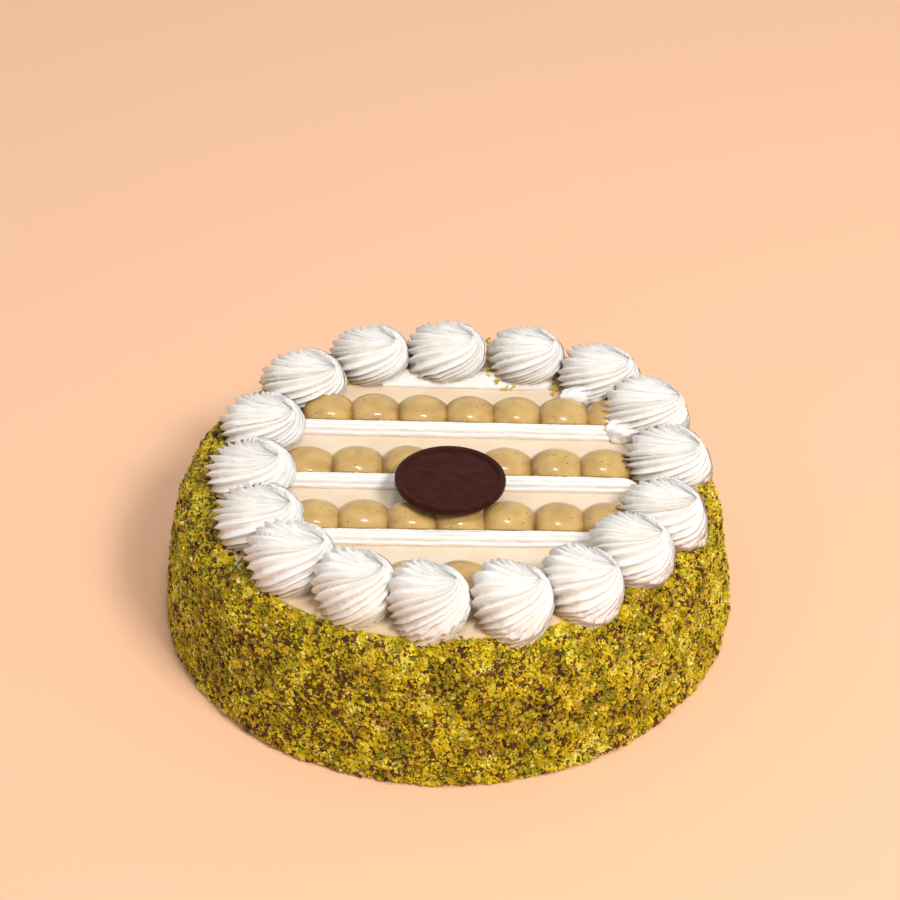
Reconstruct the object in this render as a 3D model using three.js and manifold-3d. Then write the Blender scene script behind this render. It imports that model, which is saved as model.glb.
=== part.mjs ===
// A round pistachio cream cake, uncut, as a three.js scene graph in millimetres, +Z up.
// The origin is the middle of the underside. The flank is coated in chopped pistachio, the top is
// a layer of smooth cream with a ring of piped whipped-cream rosettes, rows of nut-cream domes,
// cream stripes in front of the rows, and a round chocolate medallion across two rows.

import * as THREE from 'three';
import { mergeVertices } from 'three/addons/utils/BufferGeometryUtils.js';
import Module from 'manifold-3d';

const wasm = await Module();
wasm.setup();

// The whole cake
const CAKE_HEIGHT = 61.5; // table to the flat of the cream
const FOOT_RADIUS = 120.8; // widest, just above the table
const FLANK_LEAN = 9.0; // the flank comes in by this much towards the top
const SHOULDER_ROUND = 9.0; // and by this much more in the rounded shoulder
const SHOULDER_POWER = 8.5; // how late the shoulder starts
const FOOT_TUCK = 0.7; // the coat tucks in where it meets the table
const FOOT_BAND = 3.0; // height of that tuck
const GAP = 0.3; // clearance between pieces that touch

// Cream layer on top
const CREAM_THICKNESS = 4.0;
const CREAM_RADIUS = 101.8;
const CREAM_FLAT_RADIUS = 95.0; // flat inside this, rounding down outside it
const CREAM_BEND_RADIUS = 98.6; // one corner of that rounding
const CREAM_SIDES = 48;
const CREAM_EDGE_DROP = 1.6; // how far it has rounded down at the coat's rim
const COAT_RIM_RADIUS = 104.0; // where the coat's ragged rim begins
const COAT_LIP = 0.4; // the coat meets the cream this much under its own rim

// Chopped pistachio coat
const COAT_COLUMNS = 96;
const COAT_BANDS = 9;
const COAT_BAND_EASE = 0.92; // the bands grow a little narrower towards the shoulder
const COAT_ROUGHNESS = 1.2; // how far a crumb's top stands out or lies back
const COAT_SHIFT = 0.8; // how far it lies off its column
const COAT_RISE = 1.3; // and off its band
const COAT_SWELL = 0.7; // slow lumps from the palette knife
const RIM_RAGGED = [-1.0, 0.2]; // the rim's crumbs stand lower or higher by these
const RIM_FADE = { length: 10, least: 0.25 }; // the roughness fades to this share at the rim
const BIT_COUNT = 56;
const BIT_RADIUS = [1.9, 3.0]; // half size of the larger chopped pieces
const BIT_HEIGHTS = [5.5, 49.0]; // they stay clear of the table and of the rosettes
const BIT_SINK = 0.3; // their middles lie this deep in the coat
const GOLDEN_SHARE = 0.618034; // spreads their heights evenly round the cake
const COAT_SEED = 41;

// Piped rosettes: a dome of ridges that wind up from the cream and gather at a tip on the right
const ROSETTE_FLUTES = 20;
const ROSETTE_FOOT = { radius: 16.2, groove: 1.9 };
const ROSETTE_HALF_WIDTH = 17.3;
const ROSETTE_WAIST = 6.0; // height of the widest place
const ROSETTE_CROWN = 12.8; // from the waist to the top
const ROSETTE_FULLNESS = 2.3; // 2 would be a plain ellipse, more is squarer
const ROSETTE_LEAN = 1.2; // the top leans to the right
const ROSETTE_SKIRT = 110; // degrees from the tip down to the cream
const ROSETTE_RINGS = [ // degrees from the tip, and depth of the grooves there
  { fromTip: 86, groove: 2.1 },
  { fromTip: 60, groove: 1.8 },
  { fromTip: 33, groove: 1.1 },
  { fromTip: 0, groove: 0.0 },
];
const TIP_TILT = 48; // the tip lies this many degrees off the upright, to the right
const TILT_EASE = 1.3;
const RIDGE_TWIST = 150; // degrees that a ridge winds round on its way up
const RIDGE_GATHER = 49; // degrees that the front and back ridges are drawn to the right besides
const GATHER_EASE = 0.6;
const ROSETTE_REACH_OUT = 0.16; // how much of the base's droop each ring above it shares
const DROOP_START = 84; // a rosette farther out than this hangs over the shoulder
const FOOT_REACH = 108; // its foot stays within this, where the shoulder falls away under it
const UNDERSIDE_PAST_FLAT = 2; // its underside's middle moves this far past the flat of the cream
const UNDERSIDE_LIFT = 1.7; // and arches by this much
const STEEP_START = 90; // a rosette farther out than this arches more
const STEEP_LIFT = 0.5; // for each millimetre
const COAT_CLEAR = { start: 97, slope: 0.3, most: 1.2 }; // base kept over the ragged coat
const ROOM_HEIGHT = 30; // the room that rows leave free round a rosette
const ROOM_SIDES = 24;
const ROOM_SHIFT = 0.3;
// Piped by hand: bearing in degrees, distance from the middle, width and height as shares of the usual
// ones, going clockwise. The ones in front are narrower and stand higher than the ones at the back.
const ROSETTES = [
  [135.8, 87.8, 1.04, 0.82], [113.2, 86.5, 0.98, 0.88], [90.7, 80.8, 1.00, 0.94], [66.2, 84.7, 0.93, 0.95],
  [45.0, 92.8, 1.01, 0.88], [25.5, 93.8, 1.04, 0.85], [3.4, 91.6, 1.04, 0.83], [339.5, 92.6, 1.03, 0.90],
  [322.3, 92.2, 0.96, 1.02], [303.9, 94.5, 0.91, 1.08], [285.8, 93.0, 0.91, 1.15], [265.6, 90.5, 0.91, 1.19],
  [246.4, 88.4, 0.93, 1.11], [225.0, 87.3, 1.01, 0.98], [203.9, 84.0, 1.03, 0.87], [183.0, 82.1, 1.04, 0.83],
  [159.8, 84.2, 1.01, 0.83],
];

// Rows: a ridged cream stripe, and a row of nut-cream domes that it holds back
const ROW_PITCH = 36.6;
const FIRST_ROW_FRONT = 62.6; // front edge of the stripe farthest back
const ROW_TURNS = [-2.6, -2.1, -1.8, -1.2, -1.0]; // each row lies a little askew, in degrees
const RIDGED = { width: 8.6, height: 4.6, sides: 10, groove: 0.14, bend: 1 };
const FLATTENED = { width: 12.0, height: 1.8, sides: 6, groove: 0, bend: 0.5 }; // smooth and low
const STRIPES = [
  { ends: [-36, 46], section: FLATTENED },
  { ends: [-68, 76], section: RIDGED },
  { ends: [-73, 79], section: RIDGED },
  { ends: [-66, 74], section: RIDGED },
];
const STRIPE_STEP = 22;
const STRIPE_WAVER = 0.3;
const STRIPE_WAVE_LENGTH = 11; // for each radian of the waver
const ROOM_SECTION = [[1, 0], [1, 0.4], [0.5, 1]]; // corners of a ridged stripe's room, as shares of it
const DOME_HALF_WIDTH = 11.5;
const DOME_HALF_DEPTH = 10.75;
const DOME_BACK = 26.45; // back edge of the domes, behind the front edge of their row
const DOME_HEIGHT = 7.9;
const DOME_PLACE_SPREAD = 0.5; // each dome is off its place by up to this
const DOME_HEIGHT_SPREAD = 0.3;
const DOME_SIDES = 12;
const DOME_PROFILE = [[0, 0], [1, 0], [0.95, 0.42], [0.66, 0.83], [0, 1]];
// Left end and pitch of each row of domes, and how much lower its first domes are
const DOME_ROWS = [
  { row: 1, start: -62.4, pitch: 20.1, count: 7, lower: [] },
  { row: 2, start: -69.4, pitch: 20.65, count: 7, lower: [2.4, 0.9] },
  { row: 3, start: -65.4, pitch: 19.85, count: 7, lower: [0.5] },
  { row: 4, start: -46.1, pitch: 20.1, count: 5, lower: [3.0, 3.0, 2.1, 2.6, 3.0] },
];
const DOME_SEED = 7;

// Chocolate medallion with a plain raised sprig: one nut between two leaves
const MEDALLION_RADIUS = 22.8;
const MEDALLION_THICKNESS = 3.2;
const MEDALLION_RIM = 2.6;
const MEDALLION_FIELD = 2.5; // thickness inside the rim
const MEDALLION_PLACE = [1.1, -16.9];
const MEDALLION_TILT = [-2.0, 1.6]; // degrees about X and Y: near edge up, left edge up
const MEDALLION_LIFT = 9.2; // underside above the cream, on the domes
const MEDALLION_SIDES = 32;
const SPRIG_SINK = 0.4; // the sprig's pieces are sunk into the field
const NUT = { size: [4.6, 3.0, 1.2], place: [0, -2.2] };
const LEAF = { size: [6.2, 2.2, 1.0], place: [7.6, 3.4], turn: 24 };

/** A seeded random source: the same numbers on every run. */
function seeded(seed) {
  let state = seed >>> 0;
  return () => {
    state = (state + 0x6d2b79f5) >>> 0;
    let t = state;
    t = Math.imul(t ^ (t >>> 15), t | 1);
    t ^= t + Math.imul(t ^ (t >>> 7), t | 61);
    return ((t ^ (t >>> 14)) >>> 0) / 4294967296;
  };
}

const between = (random, low, high) => low + (high - low) * random();
const spread = (random) => between(random, -1, 1);
const radians = THREE.MathUtils.degToRad;

/** Turns a three.js geometry into one closed surface: shared corners, outward faces. */
function closed(geometry) {
  geometry.deleteAttribute('normal');
  geometry.deleteAttribute('uv');
  const merged = mergeVertices(geometry, 1e-4);
  const corners = merged.index.array;
  const kept = [];
  for (let i = 0; i < corners.length; i += 3) {
    const [a, b, c] = [corners[i], corners[i + 1], corners[i + 2]];
    if (a !== b && b !== c && c !== a) kept.push(a, b, c);
  }
  merged.setIndex(kept);
  return facingOut(merged);
}

/** Flips every face when the enclosed volume comes out negative. */
function facingOut(geometry) {
  const at = geometry.attributes.position;
  const index = geometry.index.array;
  const [a, b, c] = [new THREE.Vector3(), new THREE.Vector3(), new THREE.Vector3()];
  let volume = 0;
  for (let i = 0; i < index.length; i += 3) {
    a.fromBufferAttribute(at, index[i]);
    b.fromBufferAttribute(at, index[i + 1]);
    c.fromBufferAttribute(at, index[i + 2]);
    volume += a.dot(b.cross(c));
  }
  if (volume < 0) {
    const flipped = [];
    for (let i = 0; i < index.length; i += 3) flipped.push(index[i], index[i + 2], index[i + 1]);
    geometry.setIndex(flipped);
  }
  return geometry;
}

/** A body turned about +Z from an outline of [radius, height] pairs that starts and ends on the axis. */
function turned(outline, sides) {
  const points = outline.map(([radius, height]) => new THREE.Vector2(radius, height));
  return closed(new THREE.LatheGeometry(points, sides).rotateX(Math.PI / 2));
}

/** Moves every corner of a geometry by a function of its place. */
function warped(geometry, move) {
  const at = geometry.attributes.position;
  for (let i = 0; i < at.count; i++) at.setXYZ(i, ...move(at.getX(i), at.getY(i), at.getZ(i)));
  return geometry;
}

/** The manifold solid of a closed geometry. */
function solidOf(geometry) {
  const vertProperties = new Float32Array(geometry.attributes.position.array);
  const triVerts = new Uint32Array(geometry.index.array);
  return new wasm.Manifold(new wasm.Mesh({ numProp: 3, vertProperties, triVerts }));
}

/** The three.js geometry of a manifold solid. */
function geometryOf(solid) {
  const mesh = solid.getMesh();
  const geometry = new THREE.BufferGeometry();
  geometry.setAttribute('position', new THREE.BufferAttribute(new Float32Array(mesh.vertProperties), 3));
  geometry.setIndex(Array.from(mesh.triVerts));
  return geometry;
}

/** A mesh of a geometry and its material, with the name of its piece. */
function named(name, geometry, material) {
  const mesh = new THREE.Mesh(geometry, material);
  mesh.name = name;
  return mesh;
}

/** Radius of the coated flank at a height. */
function flankRadius(height) {
  const t = height / CAKE_HEIGHT;
  const tuck = FOOT_TUCK * Math.max(0, 1 - height / FOOT_BAND);
  return FOOT_RADIUS - FLANK_LEAN * t - SHOULDER_ROUND * t ** SHOULDER_POWER - tuck;
}

/** Height of the cake's upper surface at a distance from the middle. */
function surfaceHeight(reach) {
  if (reach <= CREAM_FLAT_RADIUS) return CAKE_HEIGHT;
  if (reach <= COAT_RIM_RADIUS) {
    const edge = (reach - CREAM_FLAT_RADIUS) / (COAT_RIM_RADIUS - CREAM_FLAT_RADIUS);
    return CAKE_HEIGHT - CREAM_EDGE_DROP * edge ** 2;
  }
  let [low, high] = [0, CAKE_HEIGHT - CREAM_EDGE_DROP];
  for (let i = 0; i < 24; i++) {
    const middle = (low + high) / 2;
    if (flankRadius(middle) > reach) low = middle;
    else high = middle;
  }
  return high;
}

const whippedCream = new THREE.MeshStandardMaterial({ color: 0xf6f1ea, roughness: 0.55, metalness: 0 });
const layerCream = new THREE.MeshStandardMaterial({ color: 0xf3dfc3, roughness: 0.5, metalness: 0 });
const nutCream = new THREE.MeshStandardMaterial({ color: 0xd3a968, roughness: 0.28, metalness: 0 });
const pistachio = new THREE.MeshStandardMaterial({ color: 0x9a8a22, roughness: 0.9, metalness: 0 });
const chocolate = new THREE.MeshStandardMaterial({ color: 0x3e1f1a, roughness: 0.42, metalness: 0 });

/** The coated cake: a rough flank, a ragged rim and a shallow seat for the cream layer. */
function cakeBody() {
  const seat = CAKE_HEIGHT - CREAM_THICKNESS - GAP;
  const rim = CAKE_HEIGHT - CREAM_EDGE_DROP;
  const outline = [[0, 0], [flankRadius(0), 0]];
  for (let band = 0; band <= COAT_BANDS; band++) {
    const height = FOOT_BAND + (rim - FOOT_BAND) * (band / COAT_BANDS) ** COAT_BAND_EASE;
    outline.push([flankRadius(height), height]);
  }
  outline.push([CREAM_RADIUS + GAP, rim - COAT_LIP], [CREAM_RADIUS + GAP, seat], [0, seat]);

  const random = seeded(COAT_SEED);
  const coat = warped(turned(outline, COAT_COLUMNS), (x, y, z) => {
    const reach = Math.hypot(x, y);
    if (reach < CREAM_RADIUS + 2 * GAP || z < FOOT_BAND / 2) return [x, y, z];
    const fade = THREE.MathUtils.clamp((rim + 2 - z) / RIM_FADE.length, RIM_FADE.least, 1);
    const bearing = Math.atan2(y, x) + (COAT_SHIFT * spread(random) * fade) / reach;
    const swell = COAT_SWELL * Math.sin(7 * bearing + z / 9) * Math.cos(4 * bearing - z / 14);
    const out = reach + fade * (COAT_ROUGHNESS * spread(random) + swell);
    const rise = z > rim - 1 ? between(random, ...RIM_RAGGED) : COAT_RISE * spread(random) * fade;
    return [out * Math.cos(bearing), out * Math.sin(bearing), z + rise];
  });

  let solid = solidOf(coat);
  for (let i = 0; i < BIT_COUNT; i++) {
    const bearing = ((i + 0.2 * spread(random)) / BIT_COUNT) * 2 * Math.PI;
    const share = (i * GOLDEN_SHARE + 1 + 0.05 * spread(random)) % 1;
    const height = THREE.MathUtils.lerp(...BIT_HEIGHTS, share);
    const bit = closed(new THREE.OctahedronGeometry(1));
    bit.scale(between(random, ...BIT_RADIUS), between(random, ...BIT_RADIUS), between(random, ...BIT_RADIUS));
    bit.rotateX(between(random, 0, 3)).rotateY(between(random, 0, 3)).rotateZ(between(random, 0, 3));
    const reach = flankRadius(height) - BIT_SINK;
    bit.translate(reach * Math.cos(bearing), reach * Math.sin(bearing), height);
    solid = solid.add(solidOf(bit));
  }
  return named('cake_body', geometryOf(solid), pistachio);
}

/** The smooth cream layer, a disc with a softly rounded edge. */
function creamTop() {
  const low = CAKE_HEIGHT - CREAM_THICKNESS;
  const outline = [[0, low], [CREAM_RADIUS, low]];
  for (const reach of [CREAM_RADIUS, CREAM_BEND_RADIUS, CREAM_FLAT_RADIUS]) {
    outline.push([reach, surfaceHeight(reach)]);
  }
  outline.push([0, CAKE_HEIGHT]);
  return named('cream_top', turned(outline, CREAM_SIDES), layerCream);
}

/** Where each rosette stands on the cake. */
const rosettePlaces = ROSETTES.map(([bearing, reach]) => new THREE.Vector2(
  reach * Math.cos(radians(bearing)),
  reach * Math.sin(radians(bearing)),
));

/** A point on a rosette's skin, by the ridge it lies on, its distance from the tip and its groove. */
function rosetteSkin(ridge, { fromTip, groove }) {
  const rise = 1 - fromTip / ROSETTE_SKIRT;
  const gather = radians(RIDGE_GATHER) * rise ** GATHER_EASE;
  const swept = ridge + radians(RIDGE_TWIST) * rise - gather * Math.sin(ridge);
  const way = new THREE.Vector3().setFromSphericalCoords(1, radians(fromTip), swept + Math.PI / 2);
  way.applyMatrix4(new THREE.Matrix4().makeRotationX(Math.PI / 2));
  way.applyAxisAngle(new THREE.Vector3(0, 1, 0), radians(TIP_TILT) * rise ** TILT_EASE);
  const wide = Math.hypot(way.x, way.y) / ROSETTE_HALF_WIDTH;
  const tall = Math.abs(way.z) / ROSETTE_CROWN;
  const reach = (wide ** ROSETTE_FULLNESS + tall ** ROSETTE_FULLNESS) ** (-1 / ROSETTE_FULLNESS);
  const skin = way.multiplyScalar(reach - groove);
  skin.x += (ROSETTE_LEAN * skin.z) / ROSETTE_CROWN;
  skin.z += ROSETTE_WAIST;
  return skin;
}

/** Moves a spot, given from a place, straight in until it lies within a reach of the cake's middle. */
function keepWithin(spot, place, most) {
  const reach = Math.hypot(spot.x + place.x, spot.y + place.y);
  const over = Math.max(0, 1 - most / reach);
  spot.x -= (spot.x + place.x) * over;
  spot.y -= (spot.y + place.y) * over;
}

/** One fluted rosette. Its ridges gather at a tip on its +X side, it droops over the shoulder, and it is
 * flat against its neighbours. */
function rosette(index) {
  const [, , across, up] = ROSETTES[index];
  const size = new THREE.Vector3(across, across, up);
  const place = rosettePlaces[index];
  const away = place.length();
  const top = ROSETTE_RINGS.length;
  const outline = [[0, -1], [1, 0], ...ROSETTE_RINGS.map((_, i) => [i + 1 < top ? 1 : 0, i + 1])];
  const neighbours = [index - 1, index + 1].map((other) => {
    const towards = rosettePlaces.at(other % ROSETTES.length).clone().sub(place);
    return { direction: towards.clone().normalize(), limit: towards.length() / 2 - GAP / 2 };
  });

  const geometry = warped(turned(outline, 2 * ROSETTE_FLUTES), (x, y, height) => {
    const level = Math.round(height);
    if (level < 0) return undersideMiddle(place, away);
    const ridge = Math.atan2(y, x);
    const depth = Math.cos(ROSETTE_FLUTES * ridge) < 0 ? 1 : 0;
    const foot = ROSETTE_FOOT.radius - depth * ROSETTE_FOOT.groove;
    const spot = level === 0
      ? new THREE.Vector3(foot * Math.cos(ridge), foot * Math.sin(ridge), 0)
      : rosetteSkin(ridge, {
        fromTip: ROSETTE_RINGS[level - 1].fromTip,
        groove: depth * ROSETTE_RINGS[level - 1].groove,
      });
    spot.multiply(size);
    for (const { direction, limit } of neighbours) {
      const over = spot.x * direction.x + spot.y * direction.y - limit;
      if (over > 0) spot.set(spot.x - over * direction.x, spot.y - over * direction.y, spot.z);
    }
    if (level === 0) keepWithin(spot, place, FOOT_REACH);
    const reach = Math.hypot(spot.x + place.x, spot.y + place.y);
    const drop = surfaceHeight(reach) - CAKE_HEIGHT + coatClearance(reach);
    const share = level === 0 ? 1 : ROSETTE_REACH_OUT * (top + 1 - level);
    return [spot.x, spot.y, spot.z + GAP + drop * share];
  });
  return named(`rosette_${String(index + 1).padStart(2, '0')}`, geometry, whippedCream);
}

/** Extra clearance over the ragged coat beyond the cream. */
function coatClearance(reach) {
  return THREE.MathUtils.clamp((reach - COAT_CLEAR.start) * COAT_CLEAR.slope, 0, COAT_CLEAR.most);
}

/** The middle of a rosette's underside, moved to the edge of the flat where the rosette droops. */
function undersideMiddle(place, away) {
  if (away < DROOP_START) return [0, 0, GAP];
  const out = CREAM_FLAT_RADIUS + UNDERSIDE_PAST_FLAT - away;
  const lift = UNDERSIDE_LIFT + Math.max(0, away - STEEP_START) * STEEP_LIFT;
  return [(place.x / away) * out, (place.y / away) * out, GAP + lift];
}

/** A plain upright post that takes up a rosette's room, for cutting what runs up to it. */
function rosetteRoom(index) {
  const radius = ROSETTE_HALF_WIDTH * ROSETTES[index][2] + GAP;
  const post = new THREE.CylinderGeometry(radius, radius, ROOM_HEIGHT, ROOM_SIDES);
  const room = closed(post.rotateX(Math.PI / 2));
  return room.translate(rosettePlaces[index].x + ROOM_SHIFT, rosettePlaces[index].y, 0);
}

/** A group whose +X runs along a row, with the row's front edge on its X axis. */
function rowGroup(row) {
  const group = new THREE.Group();
  group.position.set(0, FIRST_ROW_FRONT - row * ROW_PITCH, CAKE_HEIGHT);
  group.rotation.z = radians(ROW_TURNS[row]);
  group.updateMatrixWorld();
  return group;
}

/** Takes the room of every rosette out of a solid that is given in a row's own frame. */
function clearOfRosettes(solid, group) {
  const intoRow = group.matrixWorld.clone().invert();
  intoRow.elements[14] = 0;
  let left = solid;
  rosettePlaces.forEach((_, index) => {
    left = left.subtract(solidOf(rosetteRoom(index).applyMatrix4(intoRow)));
  });
  return left;
}

/** A bar that lies along a row: a section, drawn from its back edge to its front edge, extruded. */
function bar([start, end], section, middle, steps) {
  const outline = new THREE.Shape(section.map(([across, up]) => new THREE.Vector2(across, up)));
  outline.closePath();
  const length = { depth: end - start, steps, bevelEnabled: false };
  const shape = new THREE.ExtrudeGeometry(outline, length);
  shape.rotateX(Math.PI / 2).rotateZ(Math.PI / 2).translate(start, middle, 0);
  return closed(shape);
}

/** The half-round section of a stripe, with its ridges. */
function stripeSection({ width, height, sides, groove, bend }) {
  return Array.from({ length: sides + 1 }, (_, i) => {
    const angle = (Math.PI * i) / sides;
    const out = i % 2 === 1 || i === 0 || i === sides ? 1 : 1 - groove;
    const across = Math.sign(Math.cos(angle)) * Math.abs(Math.cos(angle)) ** bend;
    return [(width / 2) * out * across, GAP + (height - GAP) * out * Math.sin(angle) ** bend];
  });
}

/** A stripe of cream along a row, with a slight waver. */
function stripe(row, group) {
  const { ends, section } = STRIPES[row];
  const steps = Math.round((ends[1] - ends[0]) / STRIPE_STEP);
  const straight = bar(ends, stripeSection(section), section.width / 2, steps);
  const wavering = warped(straight, (x, y, z) => (
    [x, y + STRIPE_WAVER * Math.sin(x / STRIPE_WAVE_LENGTH + row), z]));
  const solid = clearOfRosettes(solidOf(wavering), group);
  return named(`cream_stripe_${row + 1}`, geometryOf(solid), whippedCream);
}

/** The room that a ridged stripe takes up, for cutting the domes that it holds back. */
function stripeRoom() {
  const half = RIDGED.width / 2 + GAP + STRIPE_WAVER;
  const side = ROOM_SECTION.map(([across, up]) => [half * across, (RIDGED.height + GAP) * up]);
  const section = [...side, ...side.toReversed().map(([across, up]) => [-across, up])];
  return solidOf(bar([-CREAM_RADIUS, CREAM_RADIUS], section, RIDGED.width / 2, 1));
}

/** One dome, centred on the row's own X at a place, grown by a margin for cutting its neighbour. */
function domeShape(middle, height, grow) {
  const dome = turned(DOME_PROFILE, DOME_SIDES);
  dome.scale(DOME_HALF_WIDTH + grow, DOME_HALF_DEPTH + grow, height - GAP + 2 * grow);
  return dome.translate(middle, DOME_BACK - DOME_HALF_DEPTH, GAP - grow);
}

/** A row of domes, each overlapped by the one piped after it on its right. */
function domeRow({ row, start, pitch, count, lower }) {
  const group = rowGroup(row);
  const random = seeded(DOME_SEED + row);
  const domes = Array.from({ length: count }, (_, i) => ({
    middle: start + DOME_HALF_WIDTH + i * pitch + DOME_PLACE_SPREAD * spread(random),
    height: DOME_HEIGHT + DOME_HEIGHT_SPREAD * spread(random) - (lower[i] ?? 0),
  }));
  domes.forEach(({ middle, height }, i) => {
    let solid = solidOf(domeShape(middle, height, 0));
    const next = domes[i + 1];
    if (next) solid = solid.subtract(solidOf(domeShape(next.middle, next.height, GAP)));
    if (row < STRIPES.length) solid = solid.subtract(stripeRoom());
    solid = clearOfRosettes(solid, group);
    group.add(named(`nut_dome_${row}_${i + 1}`, geometryOf(solid), nutCream));
  });
  return group;
}

/** The chocolate medallion: a turned disc with a raised rim and a low sprig fused on. */
function medallion() {
  const outer = MEDALLION_RADIUS;
  const inner = outer - MEDALLION_RIM;
  const outline = [
    [0, 0], [outer - 0.8, 0], [outer, 0.9], [outer, MEDALLION_THICKNESS - 0.5],
    [outer - 0.6, MEDALLION_THICKNESS], [inner, MEDALLION_THICKNESS], [inner - 0.7, MEDALLION_FIELD],
    [0, MEDALLION_FIELD],
  ];
  let solid = solidOf(turned(outline, MEDALLION_SIDES));
  const nut = new THREE.SphereGeometry(1, 8, 4).scale(...NUT.size);
  solid = solid.add(solidOf(closed(nut).translate(...NUT.place, MEDALLION_FIELD - SPRIG_SINK)));
  for (const side of [-1, 1]) {
    const leaf = new THREE.SphereGeometry(1, 6, 4).scale(...LEAF.size).rotateZ(side * radians(LEAF.turn));
    leaf.translate(side * LEAF.place[0], LEAF.place[1], MEDALLION_FIELD - SPRIG_SINK);
    solid = solid.add(solidOf(closed(leaf)));
  }
  const mesh = named('chocolate_medallion', geometryOf(solid), chocolate);
  mesh.position.set(...MEDALLION_PLACE, CAKE_HEIGHT + MEDALLION_LIFT);
  mesh.rotation.set(radians(MEDALLION_TILT[0]), radians(MEDALLION_TILT[1]), 0);
  return mesh;
}

const cake = new THREE.Group();
cake.add(cakeBody(), creamTop());

const ring = new THREE.Group();
ring.position.z = CAKE_HEIGHT;
ROSETTES.forEach((_, index) => {
  const piped = rosette(index);
  piped.position.set(rosettePlaces[index].x, rosettePlaces[index].y, 0);
  ring.add(piped);
});
cake.add(ring);

STRIPES.forEach((_, row) => {
  const group = rowGroup(row);
  group.add(stripe(row, group));
  cake.add(group);
});
DOME_ROWS.forEach((row) => cake.add(domeRow(row)));
cake.add(medallion());

export default cake;
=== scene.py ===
"""A whole pistachio cream cake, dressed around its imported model.

The coat is made of thousands of chopped crumbs, the rosettes, stripes and domes are modelled as the
piped cream they are, and the medallion as moulded chocolate. Lengths here are millimetres, and MM
turns them into Blender's metres.
"""

from __future__ import annotations

import logging
import math
from dataclasses import dataclass, field
from enum import Enum

import bmesh
import bpy
import numpy as np
from mathutils import Matrix, Vector, noise


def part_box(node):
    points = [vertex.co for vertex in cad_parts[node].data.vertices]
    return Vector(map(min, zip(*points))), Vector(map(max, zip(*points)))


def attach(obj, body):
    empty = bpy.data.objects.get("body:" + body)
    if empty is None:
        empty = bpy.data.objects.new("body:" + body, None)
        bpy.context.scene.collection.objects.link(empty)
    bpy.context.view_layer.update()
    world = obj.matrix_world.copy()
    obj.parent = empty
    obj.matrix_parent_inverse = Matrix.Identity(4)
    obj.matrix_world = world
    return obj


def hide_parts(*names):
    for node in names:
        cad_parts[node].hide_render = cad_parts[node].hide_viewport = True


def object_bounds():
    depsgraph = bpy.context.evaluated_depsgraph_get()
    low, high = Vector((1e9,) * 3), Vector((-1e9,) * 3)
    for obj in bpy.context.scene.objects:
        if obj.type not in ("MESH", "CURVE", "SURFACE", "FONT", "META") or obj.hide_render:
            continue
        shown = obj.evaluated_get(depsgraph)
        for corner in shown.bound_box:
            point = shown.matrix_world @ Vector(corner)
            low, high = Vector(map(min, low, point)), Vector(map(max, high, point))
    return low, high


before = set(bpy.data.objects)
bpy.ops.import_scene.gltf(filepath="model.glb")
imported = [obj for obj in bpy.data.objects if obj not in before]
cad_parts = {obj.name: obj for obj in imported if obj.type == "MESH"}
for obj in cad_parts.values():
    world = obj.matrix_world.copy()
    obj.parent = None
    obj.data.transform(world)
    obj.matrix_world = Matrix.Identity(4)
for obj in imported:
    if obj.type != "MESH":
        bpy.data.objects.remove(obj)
CAD_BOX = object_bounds()

MM = 0.001
# Corners this close are one, and pieces stay this far inside the boxes of their imported nodes.
MERGE_MM = 1e-3
CLEAR_MM = 0.05
BODY = "root"
log = logging.getLogger("cake")


def linear(colour: str) -> tuple[float, float, float, float]:
    """Turns an sRGB hex colour into the linear one that shaders use.

    Args:
        colour: Six hex digits after a hash.

    Returns:
        Linear red, green and blue, and an alpha of 1.
    """
    shares = [int(colour[i : i + 2], 16) / 255 for i in (1, 3, 5)]
    return tuple(c / 12.92 if c <= 0.04045 else ((c + 0.055) / 1.055) ** 2.4 for c in shares) + (1.0,)


def add_node(
    tree: bpy.types.NodeTree,
    kind: str,
    inputs: dict[str | int, object] | None = None,
    stops: list[tuple[float, str]] | None = None,
    **settings: object,
) -> bpy.types.Node:
    """Adds a node with its settings, values and links.

    Args:
        tree: The node tree that takes the node.
        kind: The node's type.
        inputs: A value or another node's output for each input that is set.
        stops: Places and hex colours of a colour ramp.
        **settings: Properties of the node itself.

    Returns:
        The new node.
    """
    node = tree.nodes.new(kind)
    for name, value in settings.items():
        setattr(node, name, value)
    for socket, value in (inputs or {}).items():
        if isinstance(value, bpy.types.NodeSocket):
            tree.links.new(value, node.inputs[socket])
        else:
            node.inputs[socket].default_value = value
    if stops:
        elements = node.color_ramp.elements
        while len(elements) < len(stops):
            elements.new(1.0)
        for element, (place, colour) in zip(elements, stops):
            element.position = place
            element.color = linear(colour)
    return node


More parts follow.
